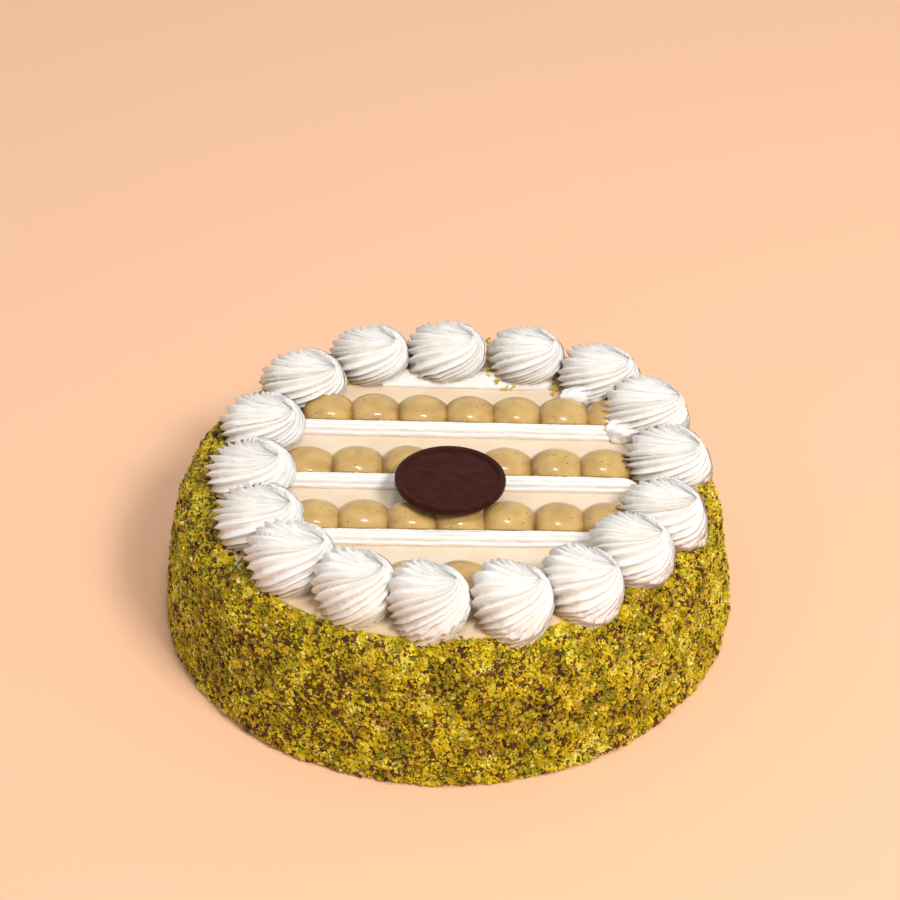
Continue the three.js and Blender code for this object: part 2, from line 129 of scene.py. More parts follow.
@dataclass(frozen=True)
class Finish:
    """A surface finish. The subclasses say what it is made of, and paint its node tree."""

    title: str
    roughness: float
    ior: float = 1.46

    def material(self) -> bpy.types.Material:
        """Makes the finish's node material the first time, and then hands out the same one.

        Returns:
            The material, with a Principled shader that the subclass has dressed.
        """
        made = bpy.data.materials.get(self.title)
        if made:
            return made
        made = bpy.data.materials.new(self.title)
        made.use_nodes = True
        tree = made.node_tree
        shader = next(n for n in tree.nodes if n.type == "BSDF_PRINCIPLED")
        shader.inputs["Roughness"].default_value = self.roughness
        shader.inputs["IOR"].default_value = self.ior
        self.paint(tree, shader)
        return made

    def paint(self, tree: bpy.types.NodeTree, shader: bpy.types.Node) -> None:
        """Adds the finish's own colour, scattering and relief."""
        raise NotImplementedError

    def scatter(self, shader: bpy.types.Node, weight: float, depth_mm: float,
                reach: tuple[float, float, float]) -> None:
        """Lets light sink into the surface, as it does in cream, nuts and chocolate.

        Args:
            shader: The Principled shader.
            weight: Share of the light that sinks in.
            depth_mm: How far it goes.
            reach: How far red, green and blue go beside each other.
        """
        shader.inputs["Subsurface Weight"].default_value = weight
        shader.inputs["Subsurface Scale"].default_value = depth_mm * MM
        shader.inputs["Subsurface Radius"].default_value = reach

    def relief(self, tree: bpy.types.NodeTree, shader: bpy.types.Node, grain_mm: float,
               height_mm: float, detail: float = 3.0) -> None:
        """Adds a fine bump of a real grain size and height.

        Args:
            tree: The material's node tree.
            shader: The Principled shader.
            grain_mm: Size of the grain.
            height_mm: Height of the grain.
            detail: Finer levels of the grain.
        """
        place = add_node(tree, "ShaderNodeTexCoord")
        grain = add_node(tree, "ShaderNodeTexNoise", {
            "Vector": place.outputs["Object"], "Scale": 1 / (grain_mm * MM), "Detail": detail})
        self.raise_by(tree, shader, grain.outputs[0], height_mm)

    def raise_by(self, tree: bpy.types.NodeTree, shader: bpy.types.Node, height: bpy.types.NodeSocket,
                 height_mm: float) -> None:
        """Bumps the surface by a pattern, on top of the bumps that it has already.

        Args:
            tree: The material's node tree.
            shader: The Principled shader.
            height: The pattern, from 0 to 1.
            height_mm: What 1 stands for.
        """
        bump = add_node(tree, "ShaderNodeBump", {
            "Height": height, "Distance": height_mm * MM, "Strength": 1.0})
        normal = shader.inputs["Normal"]
        if normal.links:
            tree.links.new(normal.links[0].from_socket, bump.inputs["Normal"])
        tree.links.new(bump.outputs[0], normal)


@dataclass(frozen=True)
class WhippedCream(Finish):
    """Whipped dairy cream: white on its ridges, with painted shade in its grooves and a warm painted shade
    at its feet.

    Its fine strands are drawn deeper than real ones, so that they show from the camera.
    """

    ridge: str = "#FAF4EC"
    # Painted shade for the grooves.
    groove: str = "#EBE2D6"
    # Warm painted shade near the feet.
    painted_foot_shade: str = "#E8D5AE"
    strand_tone: float = 0.9
    strand_mm: float = 1.2

    def paint(self, tree: bpy.types.NodeTree, shader: bpy.types.Node) -> None:
        """Paints shade into the grooves and a warm shade at the feet, draws the fine strands that the nozzle
        leaves, and adds small pores.

        Args:
            tree: The material's node tree.
            shader: The Principled shader.
        """
        # The groove attribute is painted shade: greyer in the grooves and warmer at the feet. The strands'
        # lines vary it.
        depth = add_node(tree, "ShaderNodeAttribute", attribute_name="groove")
        strand = add_node(tree, "ShaderNodeAttribute", attribute_name="strand")
        lines = add_node(tree, "ShaderNodeTexNoise", {
            "Vector": strand.outputs["Vector"], "Scale": 1.0, "Detail": 3.0})
        sunk = add_node(tree, "ShaderNodeMath", {
            0: lines.outputs[0], 1: -self.strand_tone, 2: depth.outputs["Fac"]}, operation="MULTIPLY_ADD")
        tone = add_node(tree, "ShaderNodeValToRGB", {0: sunk.outputs[0]},
                        stops=[(0.0, self.ridge), (0.55, self.groove), (0.95, self.painted_foot_shade)])
        tree.links.new(tone.outputs[0], shader.inputs["Base Color"])
        self.scatter(shader, 0.35, 0.9, (1.0, 0.92, 0.84))
        self.raise_by(tree, shader, lines.outputs[0], self.strand_mm)
        self.relief(tree, shader, grain_mm=0.9, height_mm=0.12, detail=4.0)


@dataclass(frozen=True)
class LayerCream(Finish):
    """Smooth set cream, ivory in the middle and tan towards the edge, which is partly painted shade from the
    rosettes on the edge and partly the cream's own warmer tone.
    """

    middle: str = "#EDD9BE"
    streak: str = "#E9CFAF"
    edge: str = "#E6C795"
    # Tan of the edge band, partly painted shade.
    speck: str = "#D9B98C"
    shaded_edge_starts: float = 97.0
    shaded_edge_ends: float = 102.0
    streak_mm: float = 14.0
    speck_mm: float = 4.2

    def paint(self, tree: bpy.types.NodeTree, shader: bpy.types.Node) -> None:
        """Paints the cream from ivory in its middle to tan at its edge, partly as painted shade, with faint
        broad streaks and small specks.

        Args:
            tree: The material's node tree.
            shader: The Principled shader.
        """
        place = add_node(tree, "ShaderNodeTexCoord").outputs["Object"]
        flat = add_node(tree, "ShaderNodeVectorMath", {0: place, 1: (1.0, 1.0, 0.0)}, operation="MULTIPLY")
        reach = add_node(tree, "ShaderNodeVectorMath", {0: flat.outputs[0]}, operation="LENGTH")
        # The tan edge band is partly painted shade, where the rosettes shade the edge.
        share = add_node(tree, "ShaderNodeMapRange", {
            "Value": reach.outputs["Value"], "From Min": self.shaded_edge_starts * MM,
            "From Max": self.shaded_edge_ends * MM})
        wave = add_node(tree, "ShaderNodeTexNoise", {
            "Vector": place, "Scale": 1 / (self.streak_mm * MM), "Detail": 2.0})
        streaks = add_node(tree, "ShaderNodeValToRGB", {0: wave.outputs[0]},
                           stops=[(0.4, self.middle), (0.7, self.streak)])
        broad = add_node(tree, "ShaderNodeMix", {
            0: share.outputs[0], 6: streaks.outputs[0], 7: linear(self.edge)}, data_type="RGBA")
        grain = add_node(tree, "ShaderNodeTexVoronoi", {"Vector": place, "Scale": 1 / (self.speck_mm * MM)})
        spot = add_node(tree, "ShaderNodeMapRange", {
            "Value": grain.outputs["Distance"], "From Min": 0.05, "From Max": 0.075,
            "To Min": 0.5, "To Max": 0.0})
        colour = add_node(tree, "ShaderNodeMix", {
            0: spot.outputs[0], 6: broad.outputs["Result"], 7: linear(self.speck)}, data_type="RGBA")
        tree.links.new(colour.outputs["Result"], shader.inputs["Base Color"])
        self.scatter(shader, 0.3, 1.2, (1.0, 0.88, 0.72))
        self.relief(tree, shader, grain_mm=9.0, height_mm=0.25, detail=2.0)


@dataclass(frozen=True)
class NutCream(Finish):
    """Glossy nut cream with finely ground skins in it: darker round each dome's sides and back with painted
    shade, and specked.

    Each size of speck has a spacing in millimetres, the share of it that the speck takes, and a strength.
    """

    body: str = "#D1AB64"
    # Mid tone between the painted shade and the body. The mottling reaches it too.
    thin: str = "#C19A57"
    # Painted shade round each dome's sides and back.
    painted_dome_shade: str = "#9C7036"
    speck: str = "#4E2A12"
    cloud_mm: float = 7.0
    dome_shading: float = 0.4
    specks: tuple[tuple[float, float, float], ...] = ((3.0, 0.11, 0.95), (1.5, 0.10, 0.5))
    shine: float = 0.75
    shine_roughness: float = 0.08

    def paint(self, tree: bpy.types.NodeTree, shader: bpy.types.Node) -> None:
        """Mottles the cream softly, paints shade on each dome's sides and back, and scatters the ground
        skins in two sizes.

        Args:
            tree: The material's node tree.
            shader: The Principled shader.
        """
        place = add_node(tree, "ShaderNodeTexCoord").outputs["Object"]
        cloud = add_node(tree, "ShaderNodeTexNoise", {
            "Vector": place, "Scale": 1 / (self.cloud_mm * MM), "Detail": 2.0})
        # Painted shade: darker round each dome's sides and back.
        sides = add_node(tree, "ShaderNodeAttribute", attribute_name="painted_dome_shade")
        mottle_minus_shade = add_node(tree, "ShaderNodeMath", {
            0: sides.outputs["Fac"], 1: -self.dome_shading, 2: cloud.outputs[0]}, operation="MULTIPLY_ADD")
        tone = add_node(tree, "ShaderNodeValToRGB", {0: mottle_minus_shade.outputs[0]},
                        stops=[(0.0, self.painted_dome_shade), (0.35, self.thin), (0.62, self.body)])
        colour = tone.outputs[0]
        for spacing_mm, size_share, strength in self.specks:
            grain = add_node(tree, "ShaderNodeTexVoronoi", {"Vector": place, "Scale": 1 / (spacing_mm * MM)})
            spot = add_node(tree, "ShaderNodeMapRange", {
                "Value": grain.outputs["Distance"], "From Min": size_share * 0.6,
                "From Max": size_share * 1.3, "To Min": strength, "To Max": 0.0})
            mixed = add_node(tree, "ShaderNodeMix", {
                0: spot.outputs[0], 6: colour, 7: linear(self.speck)}, data_type="RGBA")
            colour = mixed.outputs["Result"]
        tree.links.new(colour, shader.inputs["Base Color"])
        shader.inputs["Coat Weight"].default_value = self.shine
        shader.inputs["Coat Roughness"].default_value = self.shine_roughness
        self.scatter(shader, 0.25, 1.0, (1.0, 0.7, 0.4))
        self.relief(tree, shader, grain_mm=3.5, height_mm=0.07, detail=2.0)


@dataclass(frozen=True)
class DarkChocolate(Finish):
    """Moulded dark chocolate: brown-black and semi-matte, with paler clouds of bloom."""

    body: str = "#36130B"
    bloom: str = "#431B11"
    bloom_mm: float = 5.0
    gloss: float = 0.14

    def paint(self, tree: bpy.types.NodeTree, shader: bpy.types.Node) -> None:
        """Varies the brown a little, as fat bloom does, and adds a faint mould grain.

        Args:
            tree: The material's node tree.
            shader: The Principled shader.
        """
        place = add_node(tree, "ShaderNodeTexCoord").outputs["Object"]
        cloud = add_node(tree, "ShaderNodeTexNoise", {
            "Vector": place, "Scale": 1 / (self.bloom_mm * MM), "Detail": 4.0})
        tone = add_node(tree, "ShaderNodeValToRGB", {0: cloud.outputs[0]},
                        stops=[(0.4, self.body), (0.75, self.bloom)])
        tree.links.new(tone.outputs[0], shader.inputs["Base Color"])
        shader.inputs["Specular IOR Level"].default_value = self.gloss
        self.relief(tree, shader, grain_mm=0.8, height_mm=0.03)


@dataclass(frozen=True)
class CrumbPaste(Finish):
    """The finest pistachio dust pressed into cream, which shows between the crumbs."""

    cream: str = "#D2B62C"
    dust: str = "#9C8410"
    dark: str = "#563E10"
    grain_mm: float = 2.6

    def paint(self, tree: bpy.types.NodeTree, shader: bpy.types.Node) -> None:
        """Mixes cream, green dust and dark skins at the size of the crumbs.

        Args:
            tree: The material's node tree.
            shader: The Principled shader.
        """
        place = add_node(tree, "ShaderNodeTexCoord").outputs["Object"]
        grain = add_node(tree, "ShaderNodeTexNoise", {
            "Vector": place, "Scale": 1 / (self.grain_mm * MM), "Detail": 5.0})
        tone = add_node(tree, "ShaderNodeValToRGB", {0: grain.outputs[0]},
                        stops=[(0.34, self.dark), (0.50, self.dust), (0.66, self.cream)])
        tree.links.new(tone.outputs[0], shader.inputs["Base Color"])
        self.relief(tree, shader, grain_mm=0.8, height_mm=0.25)


@dataclass(frozen=True)
class NutCrumb(Finish):
    """Chopped pistachio whose tone drifts over the coat in clumps, with a little of each crumb's own.

    The chopped nuts stick together in clumps of a few millimetres, so the eye sees the clumps' tones
    before the crumbs'.
    """

    tones: tuple[str, ...] = ()
    warm: str = ""
    green: str = ""
    softness: float = 0.25
    clump_mm: float = 5.0
    patch_mm: float = 17.0
    hue_mm: float = 6.5
    own_share: float = 0.18
    patch_share: float = 0.7
    tint_share: float = 0.7

    def paint(self, tree: bpy.types.NodeTree, shader: bpy.types.Node) -> None:
        """Adds up clumps, patches and the crumb's own tone, then tints some clumps warm or green.

        Args:
            tree: The material's node tree.
            shader: The Principled shader.
        """
        own = add_node(tree, "ShaderNodeAttribute", attribute_name="tone")
        place = add_node(tree, "ShaderNodeTexCoord").outputs["Object"]
        clump = add_node(tree, "ShaderNodeTexNoise", {
            "Vector": place, "Scale": 1 / (self.clump_mm * MM), "Detail": 2.0})
        patch = add_node(tree, "ShaderNodeTexNoise", {
            "Vector": place, "Scale": 1 / (self.patch_mm * MM), "Detail": 1.0})
        near = add_node(tree, "ShaderNodeMath", {
            0: own.outputs["Fac"], 1: self.own_share, 2: clump.outputs[0]}, operation="MULTIPLY_ADD")
        far = add_node(tree, "ShaderNodeMath", {
            0: patch.outputs[0], 1: self.patch_share, 2: near.outputs[0]}, operation="MULTIPLY_ADD")
        share = add_node(tree, "ShaderNodeMapRange", {
            "Value": far.outputs[0], "From Min": 0.58, "From Max": 1.26})
        last = len(self.tones) - 1
        tone = add_node(tree, "ShaderNodeValToRGB", {0: share.outputs[0]},
                        stops=[(i / last, colour) for i, colour in enumerate(self.tones)])
        colour = tone.outputs[0]
        if self.warm:
            hue = add_node(tree, "ShaderNodeTexNoise", {
                "Vector": place, "W": 4.0, "Scale": 1 / (self.hue_mm * MM), "Detail": 2.0},
                noise_dimensions="4D")
            for tint, low, high in ((self.warm, 0.57, 0.72), (self.green, 0.46, 0.32)):
                part = add_node(tree, "ShaderNodeMapRange", {
                    "Value": hue.outputs[0], "From Min": low, "From Max": high, "To Max": self.tint_share})
                mixed = add_node(tree, "ShaderNodeMix", {
                    0: part.outputs[0], 6: colour, 7: linear(tint)}, data_type="RGBA")
                colour = mixed.outputs["Result"]
        tree.links.new(colour, shader.inputs["Base Color"])
        self.scatter(shader, self.softness, 0.5, (1.0, 0.9, 0.3))


@dataclass(frozen=True)
class PaleFloor(Finish):
    """Plain matte paper under the cake."""

    paper: str = "#F9C69E"

    def paint(self, tree: bpy.types.NodeTree, shader: bpy.types.Node) -> None:
        """Gives the paper its plain pale tone."""
        shader.inputs["Base Color"].default_value = linear(self.paper)


WHIPPED_CREAM = WhippedCream("Whipped cream, piped", roughness=0.5)
LAYER_CREAM = LayerCream("Set cream, smoothed", roughness=0.38)
NUT_CREAM = NutCream("Nut cream, piped", roughness=0.3)
DARK_CHOCOLATE = DarkChocolate("Dark chocolate, moulded", roughness=0.42)
CRUMB_PASTE = CrumbPaste("Pistachio dust in cream", roughness=0.8)
PALE_PAPER = PaleFloor("Paper, pale", roughness=0.85)


def finished(name: str, mesh: bpy.types.Mesh, finish: Finish,
             replaced: str | None = None, smooth: bool = True) -> None:
    """Makes a piece of the cake from a mesh that is already in its place.

    Args:
        name: The piece's name.
        mesh: Its mesh, in metres, in the cake's own frame.
        finish: Its finish.
        replaced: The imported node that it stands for, if any.
        smooth: Whether its faces are shaded smooth.
    """
    mesh.name = name
    mesh.materials.append(finish.material())
    mesh.polygons.foreach_set("use_smooth", [smooth] * len(mesh.polygons))
    piece = bpy.data.objects.new(name, mesh)
    bpy.context.scene.collection.objects.link(piece)
    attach(piece, BODY)
    if replaced:
        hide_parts(replaced)
    log.info("%s: %d faces", name, len(mesh.polygons))


def mesh_of(bm: bmesh.types.BMesh) -> bpy.types.Mesh:
    """Turns a bmesh into a mesh with its faces pointing out, and frees it.

    Args:
        bm: The bmesh.

    Returns:
        A mesh in the same units.
    """
    bmesh.ops.recalc_face_normals(bm, faces=bm.faces)
    mesh = bpy.data.meshes.new("shape")
    bm.to_mesh(mesh)
    bm.free()
    return mesh


def turned_outline(outline: list[tuple[float, float]], sides: int) -> bmesh.types.BMesh:
    """Turns an outline once round the upright.

    Args:
        outline: Distances from the middle and heights, in millimetres, from axis to axis.
        sides: Steps of the turn.

    Returns:
        A closed bmesh, in millimetres.
    """
    bm = bmesh.new()
    corners = [bm.verts.new((reach, 0, height)) for reach, height in outline]
    edges = [bm.edges.new(pair) for pair in zip(corners, corners[1:])]
    bmesh.ops.spin(bm, geom=corners + edges, axis=(0, 0, 1), cent=(0, 0, 0), angle=2 * math.pi,
                   steps=sides, use_merge=True)
    bmesh.ops.remove_doubles(bm, verts=bm.verts, dist=MERGE_MM)
    return bm


def ball_mesh(columns: int, rings: int) -> bpy.types.Mesh:
    """Makes a ball of radius 1, with its poles at the top and the bottom.

    Args:
        columns: Steps round it.
        rings: Steps from pole to pole.

    Returns:
        The ball.
    """
    bm = bmesh.new()
    bmesh.ops.create_uvsphere(bm, u_segments=columns, v_segments=rings, radius=1.0)
    return mesh_of(bm)


def joined(corners: np.ndarray, faces: np.ndarray) -> bpy.types.Mesh:
    """Joins many copies of a small shape into one mesh.

    Args:
        corners: For each copy, its corners in millimetres.
        faces: The triangles of one copy.

    Returns:
        The joined mesh.
    """
    copies, each = corners.shape[:2]
    triangles = (faces[None] + np.arange(copies)[:, None, None] * each).reshape(-1)
    mesh = bpy.data.meshes.new("shape")
    mesh.vertices.add(copies * each)
    mesh.vertices.foreach_set("co", (corners * MM).ravel())
    mesh.loops.add(len(triangles))
    mesh.polygons.add(len(triangles) // 3)
    mesh.polygons.foreach_set("loop_start", np.arange(0, len(triangles), 3))
    mesh.polygons.foreach_set("vertices", triangles)
    mesh.update(calc_edges=True)
    return mesh


def corners_of(mesh: bpy.types.Mesh) -> np.ndarray:
    """Reads a mesh's corners.

    Args:
        mesh: The mesh.

    Returns:
        Rows of x, y and z, in the mesh's units.
    """
    flat = np.empty(len(mesh.vertices) * 3)
    mesh.vertices.foreach_get("co", flat)
    return flat.reshape(-1, 3)


def move_corners(mesh: bpy.types.Mesh, places_mm: np.ndarray) -> None:
    """Puts a mesh's corners at new places, given in millimetres."""
    mesh.vertices.foreach_set("co", (places_mm * MM).ravel())
    mesh.update()


def write_attribute(mesh: bpy.types.Mesh, name: str, values: np.ndarray) -> None:
    """Stores one number for each corner of a mesh, for its material to read."""
    mesh.attributes.new(name, "FLOAT", "POINT").data.foreach_set("value", values.astype(np.float32))


def write_strands(mesh: bpy.types.Mesh, rows: np.ndarray) -> None:
    """Stores where each corner lies on the cream's fine strands: across them twice, and along them."""
    rows = rows.astype(np.float32).ravel()
    mesh.attributes.new("strand", "FLOAT_VECTOR", "POINT").data.foreach_set("vector", rows)


def lumps(places_mm: np.ndarray, grain_mm: float, shift: float = 0.0) -> np.ndarray:
    """Smooth noise of a real grain size at each place.

    Args:
        places_mm: Rows of x, y and z.
        grain_mm: Distance between lumps.
        shift: Moves the noise, so that pieces differ.

    Returns:
        A number from about -1 to 1 for each row.
    """
    away = Vector((shift, -shift, 2 * shift))
    return np.array([noise.noise(Vector(row) / grain_mm + away) for row in places_mm])


def smoothstep(value: np.ndarray, low: float, high: float) -> np.ndarray:
    """Rises softly from 0 at low to 1 at high."""
    share = np.clip((value - low) / (high - low), 0, 1)
    return share * share * (3 - 2 * share)


@dataclass
class CakeForm:
    """The coated cake's outline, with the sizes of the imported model."""

    height: float = field(default_factory=lambda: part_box("cream_top")[1].z / MM)
    foot_radius: float = 120.8
    lean: float = 9.0
    shoulder: float = 9.0
    shoulder_power: float = 8.5
    foot_tuck: float = 0.7
    foot_band: float = 3.0
    swell_mm: float = 0.7
    flat_radius: float = 95.0
    rim_radius: float = 104.0
    edge_drop: float = 1.6

    def radius(self, height: np.ndarray) -> np.ndarray:
        """Radius of the coat: it narrows evenly, rounds over the shoulder, and is tucked in at the foot.

        Args:
            height: Heights above the underside.

        Returns:
            The radius at each height.
        """
        share = height / self.height
        tuck = self.foot_tuck * np.maximum(0, 1 - height / self.foot_band)
        return self.foot_radius - self.lean * share - self.shoulder * share**self.shoulder_power - tuck

    def surface(self, reach: np.ndarray) -> np.ndarray:
        """Height of the cake's upper surface, over the rim and down the coat.

        Args:
            reach: Distances from the cake's middle.

        Returns:
            The height at each distance.
        """
        edge = np.clip((reach - self.flat_radius) / (self.rim_radius - self.flat_radius), 0, 1)
        inner = self.height - self.edge_drop * edge**2
        heights = np.linspace(0, self.height - self.edge_drop, 200)
        outer = np.interp(-reach, -self.radius(heights), heights)
        return np.where(reach <= self.rim_radius, inner, outer)

    def swell(self, bearing: np.ndarray, height: np.ndarray) -> np.ndarray:
        """Slow lumps that the palette knife left in the coat."""
        return self.swell_mm * np.sin(7 * bearing + height / 9) * np.cos(4 * bearing - height / 14)


class Mottle:
    """Broad patches over the coat, as a sum of plane waves with seeded directions."""

    def __init__(self, seed: int, patch_mm: tuple[float, float], waves: int = 28) -> None:
        """Draws the waves.

        Args:
            seed: Seed of the draw.
            patch_mm: Shortest and longest distance between patches.
            waves: Number of waves.
        """
        draw = np.random.default_rng(seed)
        ways = draw.normal(size=(waves, 3))
        ways /= np.linalg.norm(ways, axis=1, keepdims=True)
        self.waves = ways * (2 * math.pi / draw.uniform(*patch_mm, size=(waves, 1)))
        self.phases = draw.uniform(0, 2 * math.pi, size=waves)

    def at(self, places_mm: np.ndarray) -> np.ndarray:
        """Strength of the patches at each place, about -1 to 1."""
        return np.cos(places_mm @ self.waves.T + self.phases).sum(axis=1) / math.sqrt(len(self.phases))


@dataclass(frozen=True)
class Chop:
    """One kind of crumb: how many, how large, how flat, how far out, where it gathers, how mostly small.

    Its crumbs also differ in width and thickness, in how much each corner is cut off, and in tilt.
    """

    count: int
    sizes: tuple[float, float]
    flatness: float
    lift: tuple[float, float]
    gathers: float
    finish: NutCrumb
    smallness: float = 1.0
    widths: tuple[float, float] = (0.6, 1.0)
    thicknesses: tuple[float, float] = (0.7, 1.2)
    corner_cuts: tuple[float, float] = (-0.45, 0.2)
    tilt: float = 0.6

    def pieces(self, draw: np.random.Generator, middles: np.ndarray, facing: np.ndarray) -> bpy.types.Mesh:
        """Chops crumbs of uneven shapes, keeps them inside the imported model's box, and joins them.

        Args:
            draw: The seeded source.
            middles: Where the crumbs lie.
            facing: The way that the surface faces under each one.

        Returns:
            One mesh with all the crumbs.
        """
        many = len(middles)
        bm = bmesh.new()
        bmesh.ops.create_cube(bm, size=1.0)
        bmesh.ops.triangulate(bm, faces=bm.faces)
        bit = np.array([v.co[:] for v in bm.verts])
        faces = np.array([[v.index for v in f.verts] for f in bm.faces])
        bm.free()
        smallest, largest = self.sizes
        sizes = smallest + (largest - smallest) * draw.uniform(0, 1, many) ** self.smallness
        shape = np.ones((many, 1, 3)) * sizes[:, None, None]
        shape[:, 0, 1] *= draw.uniform(*self.widths, many)
        shape[:, 0, 2] *= self.flatness * draw.uniform(*self.thicknesses, many)
        bits = bit[None] * (1 + draw.uniform(*self.corner_cuts, (many, len(bit), 1))) * shape
        across = np.cross(facing, draw.normal(size=(many, 3)))
        across /= np.linalg.norm(across, axis=1, keepdims=True)
        up = facing + draw.normal(scale=self.tilt, size=(many, 3))
        up -= across * (up * across).sum(axis=1, keepdims=True)
        up /= np.linalg.norm(up, axis=1, keepdims=True)
        turned = np.einsum("nvk,nkd->nvd", bits, np.stack([across, np.cross(up, across), up], axis=1))
        low, high = (np.array(corner) / MM for corner in CAD_BOX)
        corners = np.clip(turned + middles[:, None, :], low + (0.1, 0.1, CLEAR_MM), high - 0.1)
        mesh = joined(corners, faces)
        write_attribute(mesh, "tone", np.repeat(draw.uniform(0, 1, many), len(bit)))
        return mesh


KERNEL = NutCrumb(
    "Pistachio kernel", roughness=0.7, warm="#B49040", green="#72740A",
    tones=("#705A06", "#997B07", "#BE9E0D", "#D7BA14", "#E5CF32", "#F2E66A"))
PALE_KERNEL = NutCrumb(
    "Pistachio kernel, pale", roughness=0.65, tones=("#D1B640", "#E6D46A", "#F2E69A"), softness=0.4)
GREEN_KERNEL = NutCrumb("Pistachio kernel, green", roughness=0.7, tones=("#68680A", "#8C8C10", "#ACAA1A"))
ROSY_KERNEL = NutCrumb("Pistachio kernel with skin", roughness=0.65, tones=("#8C6430", "#AC8246", "#BE9460"))
SKIN = NutCrumb("Pistachio skin", roughness=0.5, tones=("#33190D", "#4C2A15", "#744C22"), softness=0.05)


class CrumbKind(Enum):
    """The kinds of chopped pistachio in the coat."""

    DUST = Chop(16500, (0.5, 0.9), 0.95, (0.0, 0.40), 0.3, KERNEL)
    FINE = Chop(16500, (0.7, 1.2), 0.9, (-0.1, 0.40), 0.3, KERNEL)
    MEDIUM = Chop(16500, (0.9, 1.6), 0.85, (-0.1, 0.40), 0.0, KERNEL)
    COARSE = Chop(3500, (1.3, 2.3), 0.7, (0.0, 0.45), 0.3, KERNEL)
    PALE = Chop(3600, (0.6, 1.7), 0.8, (-0.1, 0.45), 1.8, PALE_KERNEL, 1.5)
    GREEN = Chop(3000, (0.8, 2.0), 0.7, (0.1, 0.50), 0.6, GREEN_KERNEL, 1.5)
    ROSY = Chop(1800, (0.8, 1.8), 0.7, (0.1, 0.50), -0.5, ROSY_KERNEL, 1.5)
    SKINS = Chop(12000, (0.5, 2.3), 0.5, (0.1, 0.55), -1.3, SKIN, 2.2)


